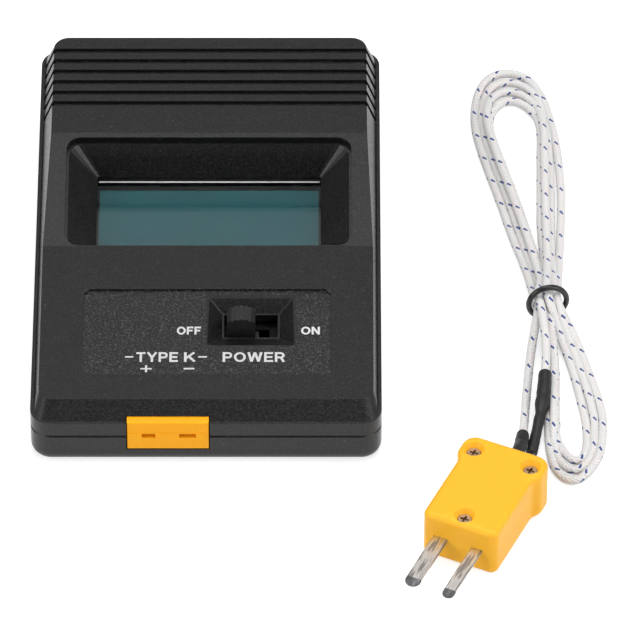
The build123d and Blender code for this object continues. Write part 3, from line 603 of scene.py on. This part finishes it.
bezel = Finish("display_frame_plastic", (0.028, 0.028, 0.03), 0.6)
bezel.relief(bezel.noise(3600.0, 2.0), 0.02, 0.5)
bezel.polish(200.0, 0.5, 0.7)
paint("display_frame", bezel)

# %% [markdown]
# ## Edge of the display
#
# Thin near-black strips lie under the pane along the back and both sides of the liquid
# crystal glass.  A bright strip along the pane's cut edge, at the foot of the back wall,
# is a painted highlight.  Both are thin strips, made from boxes with a bevel.

# %% Thin strip


def edge_strip(name, low, high, finish, bevel_mm=0.05):
    """A thin bar between two corners, in millimetres, with rounded edges."""
    bpy.ops.object.select_all(action="DESELECT")
    bpy.ops.mesh.primitive_cube_add(size=1.0)
    piece = bpy.context.object
    piece.name = name
    piece.data.name = name
    for vertex in piece.data.vertices:
        vertex.co = [(low[axis] if vertex.co[axis] < 0 else high[axis]) * MM
                     for axis in range(3)]
    apply_modifier(piece, "BEVEL", "soft_edge", width=bevel_mm * MM, segments=3)
    piece.data.materials.append(finish.material)
    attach(piece, "meter")
    print(name, "faces", len(piece.data.polygons))


# %% Dark border strips
pane_low, pane_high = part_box("display_window")
border_half, glass_half = 23.9, 22.85
border_front, border_step, border_rear = -3.0, 17.9, 21.2
border_thickness = 0.25
border_top = pane_low.z / MM - 0.05
border_bottom = border_top - border_thickness
# Near-black strips under the pane, along the back and both sides of the glass.
border = Finish("dark_display_border", (0.006, 0.006, 0.008), 0.35)
border.relief(border.noise(2600.0, 2.0), 0.01, 0.3)
border.polish(500.0, 0.28, 0.42)
edge_strip("border_back", (-border_half, border_step, border_bottom),
           (border_half, border_rear, border_top), border)
edge_strip("border_left", (-border_half, border_front, border_bottom),
           (-glass_half, border_step, border_top), border)
edge_strip("border_right", (glass_half, border_front, border_bottom),
           (border_half, border_step, border_top), border)

# %% Bright edge of the pane: a painted highlight
line_half, line_front, line_back, line_height = 23.1, 19.5, 19.78, 0.16
# A bright strip on the pane's edge stands in for light caught there: a painted highlight, with
# darker patches in it.
painted_edge_highlight = Finish("painted_pane_edge_highlight", (0.75, 0.77, 0.78), 0.5)
painted_edge_highlight.relief(painted_edge_highlight.noise(3000.0, 2.0), 0.02, 0.5)
painted_edge_highlight.tint(painted_edge_highlight.spread(painted_edge_highlight.noise(900.0), 0.4, 0.75, 0.0, 0.5), (0.4, 0.42, 0.42))
line_z = pane_high.z / MM
edge_strip("pane_edge", (-line_half, line_front, line_z),
           (line_half, line_back, line_z + line_height), painted_edge_highlight, 0.03)
print("border at", round(border_top, 2), "pane edge at", round(line_z, 2))

# %% Strips that join the glass to the board
strips = Finish("contact_strip_rubber", (0.62, 0.24, 0.3), 0.7)
layers = strips.add("TexWave", {"bands_direction": "X"}, Vector=strips.coordinates, Scale=900.0)
strips.tint(strips.spread(layers.outputs["Fac"], 0.45, 0.55, 0.0, 0.8), (0.04, 0.03, 0.03))
strips.relief(layers.outputs["Fac"], 0.02, 0.4)
paint("contact_strips", strips)

# %% [markdown]
# ## Circuit board and its parts
#
# The board is green solder mask over copper tracks.  The tracks show as slightly
# raised, lighter lines, and the parts on it are black epoxy, blue and orange dipped
# plastic, and lacquered resistors with painted bands.

# %% Board finishes
board = Finish("green_solder_mask", (0.015, 0.13, 0.045), 0.32)
grid = board.add("TexBrick", {"offset": 0.5}, Vector=board.coordinates, Scale=260.0)
grid.inputs["Mortar Size"].default_value = 0.012
ridge = board.spread(board.noise(330.0, 1.0), 0.47, 0.52, 0.0, 1.0)
copper = board.math("MULTIPLY", grid.outputs["Fac"], ridge)
board.tint(copper, (0.05, 0.26, 0.09))
board.relief(copper, 0.04, 0.7)
board.relief(board.noise(2500.0, 2.0), 0.01, 0.3)
board.polish(300.0, 0.25, 0.42)
paint("main_board", board)

for chip_name in ("converter_chip", "amplifier_chip"):
    epoxy = Finish(chip_name + "_epoxy", (0.022, 0.022, 0.023), 0.55)
    epoxy.relief(epoxy.noise(5200.0, 3.0), 0.03, 0.6)
    epoxy.polish(500.0, 0.45, 0.68)
    epoxy.tint(epoxy.spread(epoxy.noise(900.0), 0.5, 0.8, 0.0, 0.3), (0.05, 0.05, 0.05))
    paint(chip_name, epoxy)

blue_trim = Finish("trimmer_blue", (0.02, 0.1, 0.5), 0.36)
blue_trim.relief(blue_trim.noise(2400.0, 2.0), 0.02, 0.4)
blue_trim.polish(400.0, 0.28, 0.46)
paint("trimmers", blue_trim)

dipped = Finish("dipped_capacitor", (0.5, 0.1, 0.015), 0.25)
dipped.relief(dipped.noise(420.0, 2.0), 0.06, 0.5)
dipped.tint(dipped.spread(dipped.noise(240.0), 0.4, 0.75, 0.0, 0.4), (0.62, 0.16, 0.03))
dipped.polish(300.0, 0.16, 0.36)
paint("film_capacitors", dipped)

lacquer = Finish("resistor_lacquer", (0.5, 0.34, 0.18), 0.35)
bands = lacquer.add("TexWave", {"bands_direction": "X"}, Vector=lacquer.coordinates, Scale=210.0)
lacquer.tint(lacquer.spread(bands.outputs["Fac"], 0.86, 0.9, 0.0, 1.0), (0.3, 0.05, 0.02))
lacquer.relief(lacquer.noise(900.0, 2.0), 0.02, 0.4)
paint("resistors", lacquer)

# %% [markdown]
# ## Metals
#
# Nickel and zinc plating are bright but never perfect mirrors: drawing and stamping
# leave fine lines, and fingers leave duller patches.

# %% Metal finishes


def plated(name, colour, roughness, line_scale=1800.0, depth=0.012):
    """Plated or bare metal with drawn lines, duller patches and some tarnish."""
    finish = Finish(name, colour, roughness, 1.0)
    stretched = finish.add("Mapping", Vector=finish.coordinates, Scale=(0.12, 1.0, 1.0))
    lines = finish.add("TexNoise", Vector=stretched.outputs[0], Scale=line_scale, Detail=4.0)
    finish.relief(lines.outputs["Fac"], depth, 0.35)
    patches = finish.spread(finish.noise(420.0, 4.0), 0.3, 0.75, roughness * 0.7,
                            roughness * 1.5)
    finish.join(patches, finish.shader.inputs["Roughness"])
    tarnish = finish.spread(finish.noise(260.0, 3.0), 0.5, 0.85, 0.0, 0.25)
    finish.tint(tarnish, tuple(0.62 * part for part in colour))
    return finish


zinc = (0.4, 0.39, 0.37)
nickel = (0.6, 0.56, 0.5)
paint("case_screws", plated("zinc_case_screws", zinc, 0.3))
paint("board_screws", plated("zinc_board_screws", zinc, 0.32))
paint("plug_screws", plated("brassy_plug_screws", (0.52, 0.38, 0.25), 0.38))
# The switch can is given a near-black colour.
paint("switch_can", plated("near_black_switch_can", (0.02, 0.02, 0.021), 0.5))
paint("socket_contact_positive", plated("spring_contact_positive", nickel, 0.28))
paint("socket_contact_negative", plated("spring_contact_negative", nickel, 0.28))
paint("terminal_screws", plated("brass_terminal_screws", (0.8, 0.58, 0.26), 0.3))
paint("sensor_wires", plated("sensor_wire_alloy", (0.62, 0.58, 0.54), 0.34, 3800.0))
paint("sensor_bead", plated("sensor_bead_weld", (0.46, 0.43, 0.42), 0.42, 2600.0, 0.04))

# %% [markdown]
# ## Ground blade tips
#
# The blades' round tips are ground to a slope, so that they find their slots.  About the
# last two millimetres of each tip are painted darker.  How far a point lies along the
# blade decides which of the two surfaces it gets.  Long dark streaks along each blade are
# painted reflection, and the same pattern varies the roughness.

# %% Blade tips
plug_angle = math.radians(-25.0)
to_tip = Vector((math.sin(plug_angle), -math.cos(plug_angle), 0.0))
dark_tip_from, dark_tip_to = 2.15 * MM, 1.95 * MM
streak_stretch = 7.0
for blade_name in ("plug_blade_positive", "plug_blade_negative"):
    blade_metal = plated("nickel_" + blade_name, (0.72, 0.69, 0.66), 0.4, 1200.0, 0.02)
    reach = max(v.co.dot(to_tip) for v in cad[blade_name].data.vertices)
    ahead = blade_metal.add("VectorMath", {"operation": "DOT_PRODUCT"})
    blade_metal.join(blade_metal.coordinates, ahead.inputs[0])
    ahead.inputs[1].default_value = to_tip
    dark_tip = blade_metal.spread(ahead.outputs["Value"], reach - dark_tip_from,
                                reach - dark_tip_to, 0.0, 1.0)
    streaks = blade_metal.add("Mapping", {"vector_type": "TEXTURE"},
                              Vector=blade_metal.coordinates,
                              Rotation=(0.0, 0.0, plug_angle),
                              Scale=(1.0, streak_stretch, 1.0))
    streaks = blade_metal.add("TexNoise", Vector=streaks.outputs[0], Scale=900.0, Detail=3.0)
    worn = blade_metal.spread(streaks.outputs["Fac"], 0.36, 0.62, 0.26, 0.5)
    blade_metal.join(worn, blade_metal.shader.inputs["Roughness"])
    # Long dark streaks along the blade: painted reflection.
    painted_reflection_streaks = blade_metal.spread(streaks.outputs["Fac"], 0.5, 0.6, 0.0, 0.75)
    blade_metal.tint(painted_reflection_streaks, (0.13, 0.12, 0.115))
    # The tips are painted darker.
    blade_metal.tint(dark_tip, (0.075, 0.075, 0.078))
    paint(blade_name, blade_metal)
    print(blade_name, "tip reaches", round(reach / MM, 2))

# %% [markdown]
# ## Switch
#
# The slide switch is a tinned can on a brown phenolic base.  A black knob with finger
# ridges rides on its lever and shows through the window.

# %% Switch finishes
phenolic = Finish("switch_phenolic_base", (0.03, 0.018, 0.012), 0.6)
phenolic.relief(phenolic.noise(1600.0, 3.0), 0.02, 0.4)
phenolic.tint(phenolic.spread(phenolic.noise(800.0), 0.4, 0.7, 0.0, 0.4), (0.05, 0.03, 0.018))
paint("switch_base", phenolic)

lever = Finish("switch_lever_plastic", (0.02, 0.02, 0.021), 0.5)
lever.relief(lever.noise(2600.0, 2.0), 0.02, 0.4)
lever.polish(600.0, 0.4, 0.6)
paint("switch_slider", lever)

knob = Finish("power_knob_plastic", (0.012, 0.012, 0.013), 0.36)
knob.relief(knob.noise(3200.0, 2.0), 0.02, 0.4)
knob.polish(500.0, 0.26, 0.46)
knob.tint(knob.spread(knob.noise(1300.0), 0.55, 0.8, 0.0, 0.4), (0.035, 0.035, 0.035))
paint("power_knob", knob)

# %% [markdown]
# ## Yellow plastic
#
# The plug and the socket are glass-filled nylon in the yellow that marks a type K
# thermocouple.  It has a satin skin, light gets a little way into it, and thin edges
# glow warmer than flat faces.

# %% Yellow finishes


def yellow_finish(name, colour, roughness):
    finish = Finish(name, colour, roughness)
    finish.set("Specular IOR Level", 0.22)
    finish.set("Subsurface Weight", 0.18)
    finish.set("Subsurface Radius", (1.0, 0.42, 0.08))
    finish.set("Subsurface Scale", 0.9 * MM)
    finish.relief(finish.noise(2600.0, 2.0), 0.015, 0.4)
    finish.relief(finish.noise(300.0, 2.0), 0.03, 0.25)
    finish.polish(900.0, roughness - 0.05, roughness + 0.07)
    shade = finish.spread(finish.noise(700.0, 3.0), 0.3, 0.8, 0.0, 0.3)
    finish.tint(shade, (colour[0] * 0.94, colour[1] * 0.86, colour[2] * 0.7))
    return finish


type_k_yellow = (1.0, 0.5, 0.028)
paint("plug_top_shell", yellow_finish("yellow_nylon_top", type_k_yellow, 0.36))
paint("plug_bottom_shell", yellow_finish("yellow_nylon_bottom", type_k_yellow, 0.38))
paint("socket_housing", yellow_finish("yellow_nylon_socket", (1.0, 0.43, 0.008), 0.36))

# %% [markdown]
# ## Battery, snap and leads
#
# A nine-volt block in a plain wrap, a vinyl snap and its two leads fill the back of
# the case.

# %% Battery finishes
wrap = Finish("battery_wrap_plain", (0.12, 0.125, 0.15), 0.3, 0.6)
apart = wrap.add("SeparateXYZ", Vector=wrap.coordinates)
battery_low, battery_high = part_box("battery")
band_place = battery_low.x + (battery_high.x - battery_low.x) * 0.72
wrap.tint(wrap.math("GREATER_THAN", apart.outputs[0], band_place), (0.55, 0.3, 0.12))
wrap.relief(wrap.noise(180.0, 3.0), 0.05, 0.3)
wrap.polish(160.0, 0.22, 0.42)
paint("battery", wrap)

for vinyl_name, vinyl_colour in (("battery_snap", (0.02, 0.02, 0.02)),
                                 ("battery_lead_red", (0.5, 0.015, 0.01)),
                                 ("battery_lead_black", (0.018, 0.018, 0.018))):
    vinyl = Finish(vinyl_name + "_vinyl", vinyl_colour, 0.42)
    vinyl.relief(vinyl.noise(1500.0, 3.0), 0.03, 0.4)
    vinyl.polish(350.0, 0.34, 0.54)
    paint(vinyl_name, vinyl)

# %% [markdown]
# ## Rubber ring and sleeves
#
# The ring is nitrile rubber with a soft sheen.  The sleeves are matt, slightly grey
# where the heat gun dulled them.

# %% Rubber and sleeve finishes
ring = Finish("tie_ring_rubber", (0.01, 0.01, 0.011), 0.36)
ring.relief(ring.noise(1700.0, 3.0), 0.02, 0.4)
ring.polish(420.0, 0.18, 0.34)
ring.tint(ring.spread(ring.noise(700.0), 0.5, 0.8, 0.0, 0.35), (0.04, 0.04, 0.04))
paint("cord_tie", ring)

shrink = Finish("shrunk_sleeve_black", (0.011, 0.011, 0.012), 0.5)
shrink.relief(shrink.noise(1900.0, 4.0), 0.04, 0.5)
shrink.relief(shrink.noise(420.0, 2.0), 0.09, 0.5)
shrink.polish(500.0, 0.46, 0.68)
shrink.tint(shrink.spread(shrink.noise(800.0), 0.5, 0.85, 0.0, 0.4), (0.03, 0.03, 0.031))
for sleeve in (plug_sleeve, sensor_sleeve):
    sleeve.data.materials.append(shrink.material)

# %% [markdown]
# ## Woven glass braid
#
# Sixteen bundles of white glass fibre wind round the wire, eight each way, and each
# goes over two and under two.  One bundle carries a blue tracer, which comes up as a
# short pair of slanted dashes once in every lay.  The pattern reads the tube's own UV
# map, so it follows every bend.  The hollows between the bundles are darkened with
# painted shade.

# %% Braid finish
braid = Finish("white_glass_braid", (0.80, 0.785, 0.775), 0.72)
carriers = 8.0
lay_length = 7.4
uv = braid.add("UVMap", {"uv_map": "along_wire"})
split = braid.add("SeparateXYZ", Vector=uv.outputs[0])
around, lay = split.outputs[0], braid.math("DIVIDE", split.outputs[1], lay_length)
right = braid.math("MULTIPLY", braid.math("ADD", around, lay), carriers)
left = braid.math("MULTIPLY", braid.math("SUBTRACT", around, lay), carriers)
sum_of_cells = braid.math("ADD", braid.math("FLOOR", right), braid.math("FLOOR", left))
phase = braid.math("FLOORED_MODULO", sum_of_cells, 4.0)
right_on_top = braid.math("LESS_THAN", phase, 1.5)


def bundle_profile(position):
    """A rounded hump across each bundle of fibres."""
    return braid.math("SINE", braid.math("MULTIPLY", braid.math("FRACT", position), math.pi))


upper_bundle = braid.math("MULTIPLY", bundle_profile(right), right_on_top)
left_on_top = braid.math("SUBTRACT", 1.0, right_on_top)
weave = braid.math("MULTIPLY_ADD", bundle_profile(left), left_on_top, upper_bundle)
braid.relief(weave, 0.11, 0.9)
braid.relief(braid.noise(5200.0, 2.0), 0.03, 0.4)
# Painted shade: darker where the weave is low, between the bundles.
gap_painted_shade = braid.spread(weave, 0.05, 0.5, 0.4, 0.0)
braid.tint(gap_painted_shade, (0.5, 0.48, 0.48))
warm = braid.spread(braid.noise(90.0, 3.0), 0.4, 0.8, 0.0, 0.35)
braid.tint(warm, (0.8, 0.73, 0.71))

# %% Blue tracer
turn_share = braid.math("FRACT", braid.math("DIVIDE", right, carriers))
in_bundle = braid.math("LESS_THAN", turn_share, 1.0 / carriers)
edge = braid.math("ABSOLUTE", braid.math("SUBTRACT", braid.math("FRACT", right), 0.5))
two_ends = braid.math("LESS_THAN", edge, 0.4)
tracer = braid.math("MULTIPLY", braid.math("MULTIPLY", in_bundle, right_on_top), two_ends)
braid.tint(tracer, (0.025, 0.06, 0.27))
braid.set("Sheen Weight", 0.25)
braid.set("Sheen Roughness", 0.5)
braid.set("Subsurface Weight", 0.12)
braid.set("Subsurface Scale", 0.5 * MM)
braided_wire.data.materials.append(braid.material)

# %% [markdown]
# ## Printed lettering
#
# The words by the switch are pad-printed in light grey ink, a few hundredths of a
# millimetre thick.  A printing block for such a panel uses plain strokes of one width,
# so each letter is built from strokes, and every point of it is dropped on to the case,
# so that the print follows the sloping panel.

# %% Ink
ink = Finish("printed_ink", (0.6, 0.6, 0.6), 0.6)
ink.relief(ink.noise(4200.0, 2.0), 0.02, 0.5)
ink.tint(ink.spread(ink.noise(2600.0, 2.0), 0.55, 0.75, 0.0, 0.55), (0.3, 0.3, 0.3))
# The word ON gets a lighter copy of the same ink, which is painted light.
painted_light_ink = Finish("printed_ink_painted_light", (0.66, 0.66, 0.66), 0.55)
painted_light_ink.relief(painted_light_ink.noise(4200.0, 2.0), 0.02, 0.5)
painted_light_ink.tint(painted_light_ink.spread(painted_light_ink.noise(2600.0), 0.6, 0.8, 0.0, 0.4),
                (0.5, 0.5, 0.5))

# %% Height of the panel


def drop_on_case(x, y):
    """Height of the case under a point."""
    start = Vector((x, y, 50.0 * MM))
    found, place, _, _ = cad["upper_case"].ray_cast(start, Vector((0, 0, -1)))
    return place.z if found else 0.0


print("panel height in mm:", round(drop_on_case(0.0, label_front) / MM, 2))


# %% A plain stroke alphabet
# Each letter is drawn in a box one unit high: straight strokes and parts of ellipses.
# An ellipse is (centre x, centre y, half width, half height, from, to) in degrees.
letter_strokes = {
    "O": (0.92, [], [(0.46, 0.5, 0.365, 0.405, 0, 360)]),
    "F": (0.68, [(0.1, 0, 0.1, 1), (0.1, 0.905, 0.68, 0.905), (0.1, 0.5, 0.6, 0.5)], []),
    "N": (0.8, [(0.095, 0, 0.095, 1), (0.705, 0, 0.705, 1), (0.12, 0.93, 0.68, 0.07)], []),
    "T": (0.74, [(0.37, 0, 0.37, 0.9), (0, 0.905, 0.74, 0.905)], []),
    "Y": (0.8, [(0.4, 0, 0.4, 0.46), (0.06, 0.99, 0.4, 0.44), (0.74, 0.99, 0.4, 0.44)], []),
    "P": (0.74, [(0.1, 0, 0.1, 1), (0.1, 0.905, 0.46, 0.905), (0.1, 0.46, 0.46, 0.46)],
          [(0.44, 0.682, 0.205, 0.222, -90, 90)]),
    "E": (0.7, [(0.1, 0, 0.1, 1), (0.1, 0.905, 0.7, 0.905), (0.1, 0.5, 0.65, 0.5),
                (0.1, 0.095, 0.7, 0.095)], []),
    "K": (0.8, [(0.1, 0, 0.1, 1), (0.12, 0.36, 0.7, 0.97), (0.34, 0.56, 0.74, 0.03)], []),
    "W": (1.14, [(0.08, 0.99, 0.3, 0.03), (0.3, 0.03, 0.57, 0.97), (0.57, 0.97, 0.84, 0.03),
                 (0.84, 0.03, 1.06, 0.99)], []),
    "R": (0.78, [(0.1, 0, 0.1, 1), (0.1, 0.905, 0.46, 0.905), (0.1, 0.46, 0.46, 0.46),
                 (0.46, 0.46, 0.7, 0.0)], [(0.46, 0.682, 0.205, 0.222, -90, 90)]),
    "+": (0.9, [(0.45, 0.05, 0.45, 0.95), (0, 0.5, 0.9, 0.5)], []),
    "-": (0.9, [(0, 0.5, 0.9, 0.5)], []),
    " ": (0.34, [], [])}
letter_gap = 0.13
print("letters and marks:", "".join(letter_strokes))

# %% Strokes


def stroke_strip(left_x, left_y, right_x, right_y, half):
    """A straight stroke in short steps, as a list of pairs across it."""
    start, end = Vector((left_x, left_y)), Vector((right_x, right_y))
    normal = (end - start).normalized().orthogonal() * half
    steps = max(2, int((end - start).length / 0.12))
    return [(start.lerp(end, n / steps) - normal, start.lerp(end, n / steps) + normal)
            for n in range(steps + 1)]


def ellipse_strip(x, y, half_width, half_height, start, end, half):
    """A curved stroke along part of an ellipse, as a list of pairs across it."""
    steps = max(8, int((end - start) / 12))
    pairs = []
    for number in range(steps + 1):
        angle = math.radians(start + (end - start) * number / steps)
        ray = Vector((math.cos(angle), math.sin(angle)))
        pairs.append(tuple(Vector((x + ray.x * (half_width + side * half),
                                   y + ray.y * (half_height + side * half * 0.95)))
                           for side in (1, -1)))
    return pairs


# %% Print a word on the panel
ink_lift = 0.03
stroke_step = 0.0006
line_limit = 0.8


def print_word(name, word, left_mm, right_mm, bottom_mm, top_mm, finish, bar_mm=0.5):
    """Fits a word into a box on the panel; each stroke lies a hair above the last."""
    widths = [letter_strokes[letter][0] for letter in word]
    total = sum(widths) + letter_gap * (len(word) - 1)
    wide = (right_mm - left_mm) / total
    tall = top_mm - bottom_mm
    half = bar_mm / 2 / ((wide + tall) / 2) if tall > line_limit else 0.5
    vertices, faces = [], []
    cursor = 0.0
    layer = 0
    for letter in word:
        width, lines, ellipses = letter_strokes[letter]
        strips = [stroke_strip(*line, half) for line in lines]
        strips += [ellipse_strip(*ellipse, half) for ellipse in ellipses]
        for strip in strips:
            layer += 1
            first = len(vertices)
            for pair in strip:
                for corner in pair:
                    x = (left_mm + (cursor + corner.x) * wide) * MM
                    y = (bottom_mm + corner.y * tall) * MM
                    lift = (ink_lift + stroke_step * (layer % 5)) * MM
                    vertices.append((x, y, drop_on_case(x, y) + lift))
            for step in range(len(strip) - 1):
                low = first + 2 * step
                faces.append((low, low + 1, low + 3, low + 2))
        cursor += width + letter_gap
    mesh = bpy.data.meshes.new(name)
    mesh.from_pydata(vertices, [], faces)
    piece = bpy.data.objects.new(name, mesh)
    bpy.context.scene.collection.objects.link(piece)
    select_only(piece)
    bpy.ops.object.mode_set(mode="EDIT")
    bpy.ops.mesh.select_all(action="SELECT")
    bpy.ops.mesh.normals_make_consistent(inside=False)
    bpy.ops.object.mode_set(mode="OBJECT")
    for polygon in mesh.polygons:
        if polygon.normal.z < 0:
            polygon.flip()
    mesh.materials.append(finish.material)
    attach(piece, "meter")
    return piece


words = [
    print_word("word_off", "OFF", -6.1, -1.2, -31.2, -28.95, ink, 0.46),
    print_word("word_on", "ON", 19.3, 23.1, -31.2, -28.95, painted_light_ink, 0.46),
    print_word("word_type", "TYPE", -14.3, -5.8, -39.1, -36.3, ink, 0.52),
    print_word("word_k", "K", -4.6, -2.2, -39.1, -36.3, ink, 0.52),
    print_word("dash_left", "-", -16.6, -14.9, -37.85, -37.45, ink),
    print_word("dash_right", "-", -1.7, 0.1, -37.85, -37.45, ink),
    print_word("word_power", "POWER", 3.3, 16.0, -39.1, -36.3, ink, 0.52),
    print_word("mark_positive", "+", -13.4, -11.1, -42.15, -39.95, ink, 0.42),
    print_word("mark_negative", "-", -4.6, -2.4, -41.25, -40.8, ink)]
print("printed pieces:", [w.name for w in words])

# %% [markdown]
# ## Table and light
#
# A plain white table fades into a white background.  Large soft lamps stand overhead,
# behind, at both sides and in front.  The one behind gives the top of the black case
# its sheen, and the two in front stand far apart, so that the sloping front lip stays
# dark.  Every lamp is wide and dim, because a small bright one would show as a white
# patch on the plastic from some angle.  The table is seen as white, but lights the
# object no more than a real white table would.

# %% Table
bpy.ops.object.select_all(action="DESELECT")
bpy.ops.mesh.primitive_plane_add(size=6.0, location=(0, 0, 0))
table = bpy.context.object
table.name = "table"
table_finish = Finish("white_table", (0.62, 0.62, 0.62), 0.8)
table_finish.set("Specular IOR Level", 0.2)
table_finish.relief(table_finish.noise(900.0, 2.0), 0.01, 0.1)
paths = table_finish.add("LightPath")
seen = table_finish.math("MAXIMUM", paths.outputs["Is Camera Ray"],
                         paths.outputs["Is Glossy Ray"])
seen = table_finish.math("MAXIMUM", seen, paths.outputs["Is Transmission Ray"])
seen_glow = 0.62
glow = table_finish.math("MULTIPLY", seen, seen_glow)
table_finish.set("Emission Color", (1.0, 1.0, 1.0, 1.0))
table_finish.join(glow, table_finish.shader.inputs["Emission Strength"])
table.data.materials.append(table_finish.material)
print("table glow where it is seen:", seen_glow)

# %% World
world = bpy.data.worlds.new("soft_room")
bpy.context.scene.world = world
world.use_nodes = True
sky = world.node_tree.nodes["Background"]
sky.inputs["Color"].default_value = (1.0, 1.0, 1.0, 1.0)
sky.inputs["Strength"].default_value = 0.15
print("sky strength:", round(sky.inputs["Strength"].default_value, 2))

# %% Lamps


def lamp(name, place, target, size, power):
    """A flat rectangular lamp that faces its target; sizes in metres, power in watts."""
    data = bpy.data.lights.new(name, "AREA")
    data.shape = "RECTANGLE"
    data.size = size[0]
    data.size_y = size[1]
    data.energy = power
    made = bpy.data.objects.new(name, data)
    made.location = place
    made.rotation_euler = (Vector(target) - Vector(place)).to_track_quat("-Z", "Y").to_euler()
    bpy.context.scene.collection.objects.link(made)
    print(name, "of", power, "watts")


lamp("overhead_softbox", (0.1, 0.12, 1.25), (0.02, 0.0, 0.0), (1.0, 0.6), 9.0)
lamp("left_wall", (-1.3, 0.1, 0.9), (0.0, 0.0, 0.0), (1.2, 1.6), 3.6)
lamp("right_wall", (1.3, 0.1, 0.9), (0.0, 0.0, 0.0), (1.2, 1.6), 3.6)
lamp("front_left", (-1.0, -0.75, 0.65), (0.02, -0.03, 0.0), (1.1, 1.0), 9.6)
lamp("front_right", (1.0, -0.75, 0.65), (0.02, -0.03, 0.0), (1.1, 1.0), 9.6)
lamp("back_softbox", (0.02, 1.25, 1.15), (0.02, 0.0, 0.0), (1.8, 1.0), 2.6)
bpy.context.scene.view_settings.view_transform = "Standard"
